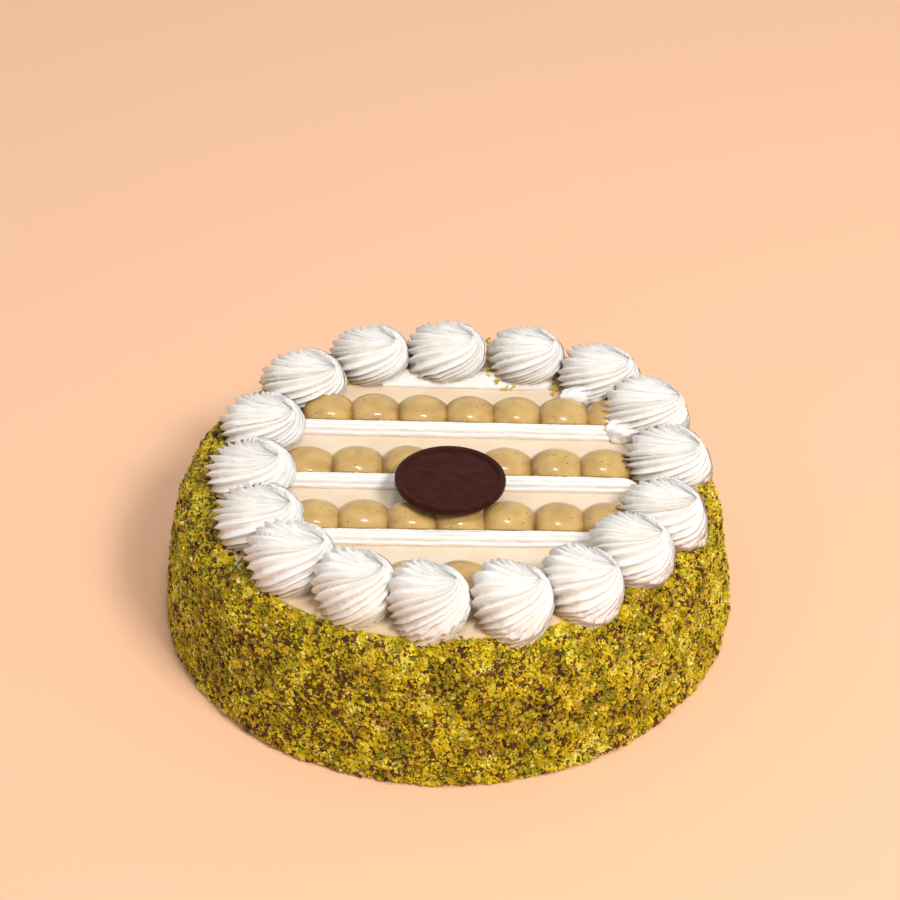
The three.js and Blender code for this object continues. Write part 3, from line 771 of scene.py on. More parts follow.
@dataclass
class Coat:
    """The pistachio coat: a rough bed of dust and cream, and the chopped crumbs pressed into it.

    Each size of clump, and the grit, has a height, a distance apart and a shift of its pattern. They are
    calmer in a band at the foot and at the rim. The rim's strip of crumbs is narrow at the front and the
    back, and wide beside, where more of the crumbs lie on it. More crumbs are drawn than are needed, so
    that those of a kind that gathers can be left out between its patches, all but a few strays.
    """

    form: CakeForm
    columns: int = 720
    bands: int = 62
    underside_rings: tuple[float, ...] = (0.0, 40.0, 80.0, 105.0)
    seat_rings: tuple[float, ...] = (60.0, 0.0)
    bed_depth: float = 0.9
    rim_lip: float = 0.4
    gap: float = 0.3
    clumps: tuple[tuple[float, float, float], ...] = ((1.0, 7.5, 0.0), (0.75, 3.6, 7.0))
    grit: tuple[float, float, float] = (0.35, 1.5, 7.0)
    rim_calm: float = 0.6
    rim_band: float = 8.0
    foot_calm: float = 0.7
    foot_band: float = 3.0
    worn_off: float = 2.2
    worn_back: tuple[float, float] = (36.0, 58.0)
    worn_below: tuple[float, float] = (12.0, 3.0)
    beside: tuple[float, float] = (0.62, 0.88)
    rim_reach: float = 106.6
    rim_width: tuple[float, float] = (4.6, 12.5)
    rim_crowding: float = 0.8
    rim_rags: tuple[float, float] = (0.9, 0.6)
    rim_facing: float = 0.75
    shoulder_band: float = 9.0
    lowest_crumbs: float = 0.7
    crumbs_below_rim: float = 0.2
    flank_share: float = 0.91
    less_beside: float = 0.12
    patches_mm: tuple[float, float] = (7.0, 22.0)
    draws_each: int = 3
    contrast: float = 1.2
    strays: float = 0.1
    pressed_in: float = 0.495
    seed: int = 23

    @property
    def rim(self) -> float:
        """Height of the coat's rim."""
        return self.form.height - self.form.edge_drop

    def relief(self, places: np.ndarray) -> np.ndarray:
        """How far the coat's clumps stand out or lie back, and how far the palette knife pressed it.

        Args:
            places: Rows of x, y and z on the smooth outline.

        Returns:
            Millimetres for each row, less near the foot and the rim, and worn off along the back of the rim.
        """
        bearing = np.arctan2(places[:, 1], places[:, 0])
        out = self.form.swell(bearing, places[:, 2])
        out += sum(height * lumps(places, grain, shift) for height, grain, shift in self.clumps)
        calm = 1 - self.rim_calm * smoothstep(places[:, 2], self.rim - self.rim_band, self.rim)
        calm *= 1 - self.foot_calm * (1 - smoothstep(places[:, 2], 0.0, self.foot_band))
        low, high = (self.rim - below for below in self.worn_below)
        worn = smoothstep(places[:, 2], low, high) * smoothstep(places[:, 1], *self.worn_back)
        return out * calm - self.worn_off * worn

    def bed(self) -> None:
        """Builds the bed by turning the cake's outline, then roughens its flank."""
        form = self.form
        low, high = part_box("cream_top")
        seat = low.z / MM - self.gap
        inner = high.x / MM + self.gap
        heights = self.rim * np.linspace(0, 1, self.bands + 1) ** 0.95
        outline = [(reach, 0.0) for reach in self.underside_rings]
        outline += [(float(form.radius(z)) - self.bed_depth, float(z)) for z in heights]
        outline += [(inner, self.rim - self.rim_lip), (inner, seat)]
        outline += [(reach, seat) for reach in self.seat_rings]
        mesh = mesh_of(turned_outline(outline, self.columns))
        places = corners_of(mesh)
        reach = np.hypot(places[:, 0], places[:, 1])
        height, grain, shift = self.grit
        rough = self.relief(places) + height * lumps(places, grain, shift)
        rough *= smoothstep(places[:, 2], 0.0, 1.0) * (reach > inner + 0.5)
        places[:, :2] *= (1 + rough / np.maximum(reach, 1))[:, None]
        move_corners(mesh, places)
        finished("coat_bed", mesh, CRUMB_PASTE, "cake_body")

    def lie(self, bearing: np.ndarray, along: np.ndarray) -> tuple[np.ndarray, np.ndarray]:
        """Finds places on the coat, from its foot up the flank and then inwards over the rim.

        Args:
            bearing: Bearing of each place, in radians.
            along: How far it is along the way up and over, 0 to 1.

        Returns:
            Rows of x, y and z, and which of them are on the flank.
        """
        form, rim = self.form, self.rim
        beside = smoothstep(np.abs(np.cos(bearing)), *self.beside)
        flank = self.flank_share - self.less_beside * beside
        on_flank = along < flank
        inwards = np.clip((along - flank) / (1 - flank), 0, 1) ** self.rim_crowding
        slow, quick = self.rim_rags
        ragged = slow * np.sin(11 * bearing) * np.cos(7 * bearing + 1) + quick * np.sin(29 * bearing)
        narrow, wide = self.rim_width
        width = narrow + (wide - narrow) * beside + ragged
        rise = rim - self.crumbs_below_rim - self.lowest_crumbs
        height = np.where(on_flank, self.lowest_crumbs + rise * (along / flank), rim)
        radius = np.where(on_flank, form.radius(height), self.rim_reach - width * inwards)
        height = np.where(on_flank, height, form.surface(radius) + 0.1)
        return np.stack([radius * np.cos(bearing), radius * np.sin(bearing), height], axis=1), on_flank

    def spread(self, draw: np.random.Generator, chop: Chop, mottle: Mottle) -> tuple[np.ndarray, np.ndarray]:
        """Draws where the crumbs of one kind lie on the coat.

        Args:
            draw: The seeded source.
            chop: The kind of crumb.
            mottle: The patches that it gathers in or keeps out of.

        Returns:
            The crumbs' middles, and the way that the coat faces under each one.
        """
        many = chop.count * self.draws_each
        bearing = draw.uniform(-math.pi, math.pi, many)
        along = draw.uniform(0.0, 1.0, many)
        places, on_flank = self.lie(bearing, along)
        weight = 0.5 + 0.5 * np.tanh(self.contrast * chop.gathers * mottle.at(places))
        kept = np.flatnonzero(draw.uniform(0, 1, many) < weight + self.strays)[: chop.count]
        lift = draw.uniform(*chop.lift, size=len(kept)) - self.pressed_in
        places, bearing, on_flank = places[kept], bearing[kept], on_flank[kept]
        slope = smoothstep(places[:, 2], self.rim - self.shoulder_band, self.rim + 1) * math.pi / 2
        slope = np.where(on_flank, slope * self.rim_facing, slope)
        flat = np.cos(slope)
        facing = np.stack([np.cos(bearing) * flat, np.sin(bearing) * flat, np.sin(slope)], axis=1)
        return places + facing * (lift + self.relief(places))[:, None], facing

    def build(self) -> None:
        """Builds the bed and every kind of crumb."""
        self.bed()
        mottle = Mottle(self.seed, self.patches_mm)
        for number, kind in enumerate(CrumbKind):
            draw = np.random.default_rng(self.seed + number)
            chop = kind.value
            mesh = chop.pieces(draw, *self.spread(draw, chop, mottle))
            finished(f"crumbs_{kind.name.lower()}", mesh, chop.finish, smooth=False)


@dataclass(frozen=True)
class Spill:
    """A few crumbs that fell on the cream: the middle of the spot, how far it spreads, and how many."""

    middle: tuple[float, float, float]
    spread: tuple[float, float]
    count: int


@dataclass
class Spills:
    """Crumbs of coat that lie on the cream, in the gaps between rosettes."""

    chop: Chop
    heaped: float = 0.35
    spots: tuple[Spill, ...] = (
        Spill((17.6, 90.0, 62.6), (0.8, 6.0), 16),
        Spill((18.0, 76.0, 62.8), (0.9, 5.0), 18),
        Spill((22.0, 66.0, 63.6), (1.6, 2.4), 10),
        Spill((26.5, 61.2, 62.6), (2.0, 0.8), 10),
        Spill((48.0, 90.0, 62.6), (1.0, 5.0), 16),
        Spill((46.6, 75.0, 62.8), (0.9, 7.0), 26),
        Spill((46.8, 61.0, 62.4), (1.0, 2.4), 12),
        Spill((-43.6, 67.0, 62.4), (1.2, 1.4), 6),
        Spill((6.0, -104.2, 60.6), (6.0, 1.2), 90),
    )
    seed: int = 91

    def build(self) -> None:
        """Strews the crumbs of every spot and joins them into one piece."""
        draw = np.random.default_rng(self.seed)
        middles = np.concatenate([
            np.array(spot.middle) + draw.normal(size=(spot.count, 3)) * (*spot.spread, self.heaped)
            for spot in self.spots])
        facing = np.tile((0.0, 0.0, 1.0), (len(middles), 1))
        mesh = self.chop.pieces(draw, middles, facing)
        finished("crumbs_spilt", mesh, self.chop.finish, smooth=False)


@dataclass(frozen=True)
class Dab:
    """A lump of cream that tore off a rosette as the nozzle was pulled away.

    It is uneven by a share of its size, at lumps of some millimetres, and ragged at a share of its size.
    """

    name: str
    middle: tuple[float, float, float]
    half_sizes: tuple[float, float, float]
    uneven: tuple[float, float] = (0.28, 4.5)
    ragged: tuple[float, float] = (0.07, 0.45)

    def build(self) -> None:
        """Swells a ball into an uneven lump."""
        bm = bmesh.new()
        bmesh.ops.create_icosphere(bm, subdivisions=5, radius=1.0)
        mesh = mesh_of(bm)
        ball = corners_of(mesh)
        rags = self.uneven[0] * lumps(ball * self.half_sizes, self.uneven[1], self.middle[0])
        rags += self.ragged[0] * lumps(ball, self.ragged[1], self.middle[1])
        places = ball * (1 + rags)[:, None] * self.half_sizes + self.middle
        move_corners(mesh, places)
        write_strands(mesh, ball * (2.5, 2.5, 1.0))
        finished(self.name, mesh, WHIPPED_CREAM)


@dataclass
class CreamLayer:
    """The smooth set cream on top, with a softly rounded edge that swells at the front and the back."""

    form: CakeForm
    sides: int = 240
    rings: int = 34
    wave_height: float = 0.22
    wave_length: float = 9.0
    wave_sunk: float = 0.6
    lobe_height: float = 1.1
    lobe_length: float = 11.0
    lobe_raised: float = 0.35
    lobe_band: tuple[float, float] = (96.0, 100.0)
    no_lobes_beside: tuple[float, float] = (0.45, 0.7)

    def build(self) -> None:
        """Turns the layer's outline, waves its top, and lets its edge swell."""
        low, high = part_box("cream_top")
        radius, bottom = high.x / MM, low.z / MM
        reaches = radius * np.sqrt(np.linspace(1, 0, self.rings))
        outline = [(0.0, bottom), (radius, bottom)]
        outline += [(float(r), float(self.form.surface(r))) for r in reaches]
        mesh = mesh_of(turned_outline(outline, self.sides))
        places = corners_of(mesh)
        top = places[:, 2] > bottom + 1
        waves = self.wave_sunk + lumps(places * (0.4, 1, 1), self.wave_length)
        places[:, 2] -= top * self.wave_height * waves
        reach = np.hypot(places[:, 0], places[:, 1])
        lobes = top * smoothstep(reach, *self.lobe_band)
        lobes *= self.lobe_raised + lumps(places * (1, 1, 0), self.lobe_length, 2.0)
        lobes *= 1 - smoothstep(np.abs(places[:, 0]) / np.maximum(reach, 1), *self.no_lobes_beside)
        places[:, 2] += self.lobe_height * lobes
        places[:, :2] *= (1 + self.lobe_height * np.maximum(0, lobes) / np.maximum(reach, 1))[:, None]
        move_corners(mesh, places)
        finished("cream_layer", mesh, LAYER_CREAM, "cream_top")


@dataclass
class RosetteShape:
    """The form that every rosette shares: a dome of ridges that wind up to a tip on its right.

    Angles are in degrees. The skirt, the foot and the crests' rise are counted from the tip, and the
    bottom starts at a share of the ball, below which it is the flat underside.
    """

    ridges: int = 26
    columns: int = 260
    rings: int = 68
    half_width: float = 17.3
    waist: float = 6.0
    crown: float = 12.8
    fullness: float = 2.3
    lean: float = 1.2
    skirt: float = 110.0
    tip_tilt: float = 48.0
    tilt_ease: float = 1.3
    twist: float = 150.0
    gather: float = 49.0
    gather_ease: float = 0.6
    foot_radius: float = 16.2
    foot_groove: float = 1.9
    # Depth at which a groove takes its full painted shade.
    dark_groove: float = 1.5
    crest_rise: float = 1.2
    crest_less_full: float = 0.6
    crest_from: tuple[float, float] = (40.0, 80.0)
    uneven: float = 0.35
    wobble: tuple[float, float] = (0.07, 0.035)
    shoulder_way: tuple[float, float, float] = (-0.72, 0.16, 0.68)
    shoulder_rise: float = 8.0
    shoulder_edge: float = 0.55
    foot_from: float = 84.0
    bottom_from: float = 0.88
    strands: float = 15.0
    strand_length: float = 50.0
    depths: tuple[tuple[float, float], ...] = ((0, 0.0), (5, 0.45), (14, 0.9), (33, 1.5), (60, 2.1),
                                               (86, 2.5), (110, 2.1))
    box_width: float = 33.64
    box_depth: float = 34.25
    box_height: float = 18.79
    box_shift: tuple[float, float] = (0.32, 0.1)

    def skin(self, ridge: np.ndarray, from_tip: np.ndarray, groove: np.ndarray,
             tilt: float, twist: float, full: float) -> np.ndarray:
        """Places on the dome's skin, in the rosette's own frame.

        Args:
            ridge: Bearing at the foot of the ridge that a place lies on, in radians.
            from_tip: Its distance from the tip, in degrees.
            groove: Its depth under the ridges' crests.
            tilt: How far off the upright the tip lies, in degrees.
            twist: How far the ridges wind, in degrees.
            full: Share of the full left shoulder that it has, 0 to 1.

        Returns:
            Rows of x, y and z in millimetres.
        """
        rise = 1 - from_tip / self.skirt
        gather = math.radians(self.gather) * rise**self.gather_ease
        swept = ridge + math.radians(twist) * rise - gather * np.sin(ridge)
        polar = np.radians(from_tip)
        turn = math.radians(tilt) * rise**self.tilt_ease
        x0, y, z0 = np.sin(polar) * np.cos(swept), np.sin(polar) * np.sin(swept), np.cos(polar)
        x, z = x0 * np.cos(turn) + z0 * np.sin(turn), z0 * np.cos(turn) - x0 * np.sin(turn)
        wide = np.hypot(x, y) / self.half_width
        tall = np.abs(z) / self.crown
        reach = (wide**self.fullness + tall**self.fullness) ** (-1 / self.fullness) - groove
        facing = np.stack([x, y, z], axis=1) @ np.array(self.shoulder_way)
        reach += full * self.shoulder_rise * np.maximum(0, facing - self.shoulder_edge)
        skin = np.stack([x * reach, y * reach, z * reach], axis=1)
        skin[:, 0] += self.lean * skin[:, 2] / self.crown
        skin[:, 2] += self.waist
        return skin


@dataclass(frozen=True)
class Tear:
    """Where a rosette is torn: the bearing of that side in degrees, and how far it bulges there.

    It is torn where the skin faces that side, up to a height. Each size of rag has a height and a distance
    apart.
    """

    side: float
    bulge: float
    facing: tuple[float, float] = (0.35, 0.75)
    below: tuple[float, float] = (6.0, 9.5)
    rags: tuple[tuple[float, float], ...] = ((1.7, 3.0), (0.7, 1.5))


@dataclass
class Rosette:
    """One piped rosette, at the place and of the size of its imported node.

    Its swells, pores and small tears have a height and a distance apart. Angles from the tip say where it
    is calm, where the small tears begin and where it droops. The ones that stand nearer the front than
    full_from have a fuller shoulder.
    """

    number: int
    form: CakeForm
    shape: RosetteShape
    tear: Tear | None = None
    tilts: tuple[float, float] = (-6.0, 5.0)
    twists: tuple[float, float] = (0.88, 1.1)
    swells: tuple[float, float] = (0.5, 6.0)
    pores: tuple[float, float] = (0.12, 1.6)
    small_tears: tuple[float, float] = (0.55, 7.0)
    torn_from: tuple[float, float] = (45.0, 80.0)
    tip_calm: tuple[float, float] = (4.0, 30.0)
    # Strength and height band of the painted shade at the foot.
    foot_shade: float = 1.4
    shaded_below: tuple[float, float] = (1.0, 9.0)
    spare: float = 0.3
    reach_out: tuple[float, float] = (0.16, 0.64)
    squeeze: float = -1.0
    give: float = 2.0
    foot_reach: float = 108.0
    droop_from: tuple[float, float] = (60.0, 100.0)
    full_from: tuple[float, float] = (40.0, 72.0)

    @property
    def node(self) -> str:
        """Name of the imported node."""
        return f"rosette_{self.number:02d}"

    @property
    def place(self) -> np.ndarray:
        """Where the rosette's middle stands."""
        low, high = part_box(self.node)
        return np.array([(low.x + high.x) / 2, (low.y + high.y) / 2]) / MM - self.shape.box_shift

    @property
    def size(self) -> np.ndarray:
        """How wide and how tall it is beside the shape that all rosettes share.

        Returns:
            Factors for x, y and z.
        """
        low, high = (np.array(corner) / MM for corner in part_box(self.node))
        width, depth, _ = high - low
        across = max(width / self.shape.box_width, depth / self.shape.box_depth)
        return np.array([across, across, (high[2] - self.form.height - self.spare) / self.shape.box_height])

    def build(self, neighbours: list[np.ndarray]) -> None:
        """Pipes the rosette.

        Args:
            neighbours: Where the rosettes on both sides stand.
        """
        shape = self.shape
        draw = np.random.default_rng(100 + self.number)
        mesh = ball_mesh(shape.columns, shape.rings)
        ball = corners_of(mesh)
        column = np.arctan2(ball[:, 1], ball[:, 0])
        down = np.arccos(np.clip(ball[:, 2], -1, 1)) / math.pi
        under = np.clip((down - shape.bottom_from) / (1 - shape.bottom_from), 0, 1)
        from_tip = np.clip(down / shape.bottom_from, 0, 1) * shape.skirt
        ridge, off, each = self.ridging(column)
        full = float(smoothstep(-self.place[1], *self.full_from))
        depth = np.interp(from_tip, *zip(*shape.depths))
        crest = shape.crest_rise * (1 - shape.crest_less_full * full) * (1 - off) ** 1.5
        crest *= smoothstep(from_tip, *shape.crest_from)
        groove = (depth * np.sin(off * math.pi / 2) ** 0.9 - crest) * each
        tilt = shape.tip_tilt + draw.uniform(*self.tilts)
        twist = shape.twist * draw.uniform(*self.twists)
        skin = shape.skin(ridge, from_tip, groove, tilt, twist, full)
        foot_reach = (shape.foot_radius - shape.foot_groove * off * each) * (1 - under)
        foot = np.stack([foot_reach * np.cos(ridge), foot_reach * np.sin(ridge), 0 * ridge], axis=1)
        low_down = smoothstep(from_tip, shape.foot_from, shape.skirt)
        spots = skin * (1 - low_down[:, None]) + foot * low_down[:, None]
        spots += self.rough(spots, from_tip) * (smoothstep(from_tip, *self.tip_calm) * (1 - under))[:, None]
        # Painted shade: darker in the grooves, and warmer over the lowest few millimetres near the foot,
        # where shade falls.
        foot_shade_mask = (1 - smoothstep(spots[:, 2], *self.shaded_below)) * (1 - under)
        move_corners(mesh, self.settled(spots * self.size, from_tip, low_down, neighbours))
        shade = np.maximum(off * np.clip(depth / shape.dark_groove, 0, 1), self.foot_shade * foot_shade_mask)
        write_attribute(mesh, "groove", shade)
        around = shape.strands * np.stack([np.cos(column), np.sin(column)], axis=1)
        write_strands(mesh, np.column_stack([around, from_tip / shape.strand_length]) + self.number)
        finished(f"piped_{self.node}", mesh, WHIPPED_CREAM, self.node)

    def ridging(self, column: np.ndarray) -> tuple[np.ndarray, np.ndarray, np.ndarray]:
        """Lays the ridges round the rosette, a little unevenly.

        Args:
            column: Bearing of each corner on the ball, in radians.

        Returns:
            The bearing of the ridge line through each corner, how far it is off the ridge's crest, 0 to 1,
            and how strong that ridge is.
        """
        crest = column * self.shape.ridges / (2 * math.pi)
        off = np.abs((crest + 0.5) % 1 - 0.5) * 2
        slow, quick = self.shape.wobble
        line = column + slow * np.sin(3 * column + self.number) + quick * np.sin(7 * column + 2)
        nearest = np.round(crest) % self.shape.ridges
        each = 1 + self.shape.uneven * np.sin(5.3 * nearest + self.number) * np.cos(2.1 * nearest)
        return line, off, each

    def settled(self, spots: np.ndarray, from_tip: np.ndarray, low_down: np.ndarray,
                neighbours: list[np.ndarray]) -> np.ndarray:
        """Presses the rosette against its neighbours and sets it down, drooping where the cake falls away.

        Args:
            spots: Rows of x, y and z about the rosette's middle.
            from_tip: Their distances from the tip, in degrees.
            low_down: How far each row belongs to the foot.
            neighbours: Where the rosettes on both sides stand.

        Returns:
            The rows on the cake.
        """
        place, foot_from = self.place, self.shape.foot_from
        spots[:, :2] = self.pressed(spots[:, :2], place, neighbours)
        spots[:, :2] = self.drawn_in(spots[:, :2], place, low_down)
        spots += (*place, self.form.height)
        drop = self.form.surface(np.hypot(spots[:, 0], spots[:, 1])) - self.form.height
        droop = np.interp(from_tip, [0, foot_from], self.reach_out)
        droop = np.maximum(droop, smoothstep(from_tip, *self.droop_from))
        spots[:, 2] += drop * np.where(from_tip > foot_from, 1.0, droop)
        spots[:, 2] = np.minimum(spots[:, 2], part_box(self.node)[1].z / MM - CLEAR_MM)
        return spots

    def rough(self, spots: np.ndarray, from_tip: np.ndarray) -> np.ndarray:
        """Swells the ridges unevenly, tears them low down, and rips one side where it is torn.

        Args:
            spots: Rows of x, y and z on the skin.
            from_tip: Their distances from the tip, in degrees.

        Returns:
            How far each one moves.
        """
        away = spots - (0, 0, self.shape.waist)
        away /= np.linalg.norm(away, axis=1, keepdims=True)
        shift = 3.7 * self.number
        swell, swell_grain = self.swells
        pore, pore_grain = self.pores
        deeper, tear_grain = self.small_tears
        torn = deeper * smoothstep(lumps(spots, tear_grain, shift), 0.15, 0.45)
        torn *= smoothstep(from_tip, *self.torn_from)
        out = swell * lumps(spots, swell_grain, shift) + (pore + torn) * lumps(spots, pore_grain, shift)
        if self.tear:
            side = math.radians(self.tear.side)
            facing = away[:, 0] * math.cos(side) + away[:, 1] * math.sin(side)
            near = smoothstep(facing, *self.tear.facing) * (1 - smoothstep(spots[:, 2], *self.tear.below))
            rags = sum(height * lumps(spots, grain, shift + i)
                       for i, (height, grain) in enumerate(self.tear.rags, start=1))
            out += near * (self.tear.bulge + rags)
        return away * out[:, None]

    def drawn_in(self, spots: np.ndarray, place: np.ndarray, share: np.ndarray) -> np.ndarray:
        """Keeps the foot on the shoulder, where it falls away under the rosette.

        Args:
            spots: Rows of x and y about the rosette's middle.
            place: Where that middle is.
            share: How far each row belongs to the foot.

        Returns:
            The moved rows.
        """
        on_cake = spots + place
        reach = np.hypot(on_cake[:, 0], on_cake[:, 1])
        over = np.maximum(0, 1 - self.foot_reach / reach) * share
        return spots - on_cake * over[:, None]

    def pressed(self, spots: np.ndarray, place: np.ndarray, neighbours: list[np.ndarray]) -> np.ndarray:
        """Flattens the rosette where it is pressed against the ones beside it.

        Args:
            spots: Rows of x and y about the rosette's middle.
            place: Where that middle is.
            neighbours: Where the rosettes on both sides stand.

        Returns:
            The moved rows.
        """
        for other in neighbours:
            towards = other - place
            apart = float(np.linalg.norm(towards))
            way = towards / apart
            over = np.maximum(0, spots @ way - (apart / 2 + self.squeeze))
            spots = spots - np.outer(over - self.give * (1 - np.exp(-over / self.give)), way)
        return spots


@dataclass
class RosetteRing:
    """The ring of rosettes on the cake's rim."""

    form: CakeForm
    count: int = 17
    tears: tuple[tuple[int, Tear], ...] = (
        (5, Tear(235.0, 1.0)), (6, Tear(218.0, 2.0)), (3, Tear(215.0, 0.4)), (12, Tear(285.0, 0.4)))
    dabs: tuple[Dab, ...] = (
        Dab("cream_dab_1", (74.8, 26.8, 64.4), (8.4, 5.6, 5.2)),
        Dab("cream_dab_2", (59.0, 51.6, 65.4), (10.0, 4.8, 4.6)),
    )

    def build(self) -> None:
        """Pipes the rosettes one after another, and leaves the torn lumps beside them."""
        shape = RosetteShape()
        torn = dict(self.tears)
        ring = [Rosette(i + 1, self.form, shape, torn.get(i + 1)) for i in range(self.count)]
        places = [rosette.place for rosette in ring]
        for i, rosette in enumerate(ring):
            rosette.build([places[i - 1], places[(i + 1) % self.count]])
        for dab in self.dabs:
            dab.build()


@dataclass(frozen=True)
class Row:
    """One of the straight rows across the cake, with its own frame: X along its front edge."""

    number: int
    turn: float
    form: CakeForm
    first_front: float = 62.6
    pitch: float = 36.6

    def along(self, x: float, across: float) -> float:
        """Turns the cake's x at a distance behind the front edge into a length along the row."""
        angle = math.radians(self.turn)
        return (x + across * math.sin(angle)) / math.cos(angle)

    def on_cake(self, places: np.ndarray) -> np.ndarray:
        """Puts places on the cake.

        Args:
            places: Rows of x, y and z in the row's own frame.

        Returns:
            The same rows in the cake's frame.
        """
        angle = math.radians(self.turn)
        x, y, z = places.T
        front = self.first_front - (self.number - 1) * self.pitch
        return np.stack([
            x * math.cos(angle) - y * math.sin(angle),
            x * math.sin(angle) + y * math.cos(angle) + front,
            z + self.form.height,
        ], axis=1)


@dataclass
class Stripe:
    """A stripe of cream that lies along the front of a row.

    It has no ridges where their number is 0, and a lower bend makes its section boxier. Its wandering,
    pores and tears have a size and a distance apart, and it is torn on the side away from the row's front.
    """

    row: Row
    width: float = 8.6
    ridges: int = 5
    groove: float = 0.17
    bend: float = 1.0
    sides: int = 60
    step: float = 0.9
    tucked_under: float = 1.2
    taper: float = 9.0
    ridge_wander: tuple[float, float] = (0.04, 8.0)
    wander: tuple[float, float] = (0.35, 16.0)
    pores: tuple[float, float] = (0.09, 1.7)
    tears: tuple[float, float] = (0.3, 0.9)
    torn_beyond: float = 0.3
    sunk: float = 0.6

    def tube(self, length: float) -> bpy.types.Mesh:
        """Makes a tube of radius 1 and length 1, in steps that suit the stripe's real length.

        Args:
            length: That real length.

        Returns:
            The tube, which stands upright.
        """
        bm = bmesh.new()
        bmesh.ops.create_cone(bm, cap_ends=True, segments=self.sides, radius1=1, radius2=1, depth=1)
        lengthwise = [e for e in bm.edges if abs(e.verts[0].co.z - e.verts[1].co.z) > 0.5]
        bmesh.ops.subdivide_edges(bm, edges=lengthwise, cuts=int(length / self.step))
        return mesh_of(bm)

    def build(self) -> None:
        """Draws the stripe's section along its row, with the small tears of a quick pull."""
        number = self.row.number
        node = f"cream_stripe_{number}"
        low, high = (np.array(corner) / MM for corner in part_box(node))
        half = self.width / 2
        start, end = self.row.along(low[0], half) - self.tucked_under, self.row.along(high[0], half)
        tall = high[2] - self.row.form.height
        mesh = self.tube(end - start)
        tube = corners_of(mesh)
        angle = np.arctan2(tube[:, 1], tube[:, 0])
        x = start + (tube[:, 2] + 0.5) * (end - start)
        line = np.stack([x, 0 * x, 0 * x], axis=1)
        sway, sway_length = self.ridge_wander
        crest = (angle / math.pi * self.ridges + sway * lumps(line, sway_length, number)) % 1
        off = np.abs(crest - 0.5) * 2 * (self.ridges > 0)
        up = np.sin(angle) > -0.02
        section = 1 - self.groove * off * up
        y = half * section * np.sign(np.cos(angle)) * np.abs(np.cos(angle)) ** self.bend
        z = np.where(up, tall * section * np.abs(np.sin(angle)) ** self.bend, 0.0)
        thin = np.sqrt(1 - 0.96 * (1 - np.clip((end - x) / self.taper, 0, 1)) ** 2)
        wander, wander_length = self.wander
        across = y * thin + half + wander * lumps(line, wander_length, 5.0 * number)
        places = np.stack([x, across, z * thin], axis=1)
        pore, pore_grain = self.pores
        tear, tear_grain = self.tears
        torn = tear * smoothstep(lumps(places, 3.0, number), 0.1, 0.4) * (y > self.torn_beyond * half)
        rough = pore * lumps(places, pore_grain, 2.0 * number) + torn * lumps(places, tear_grain, 4.0)
        places[:, 1] += rough * np.cos(angle)
        places[:, 2] += np.where(up, rough * np.abs(np.sin(angle)) * np.clip(z, 0, 1), 0)
        places[:, 2] = np.minimum(places[:, 2] - self.sunk * (z < 0.5), tall)
        move_corners(mesh, self.row.on_cake(places))
        # Painted shade in the stripe's grooves.
        write_attribute(mesh, "groove", off * up)
        write_strands(mesh, np.column_stack([2.0 * np.cos(angle), 2.0 * np.sin(angle), x / 12]) + number)
        finished(f"piped_stripe_{number}", mesh, WHIPPED_CREAM, node)


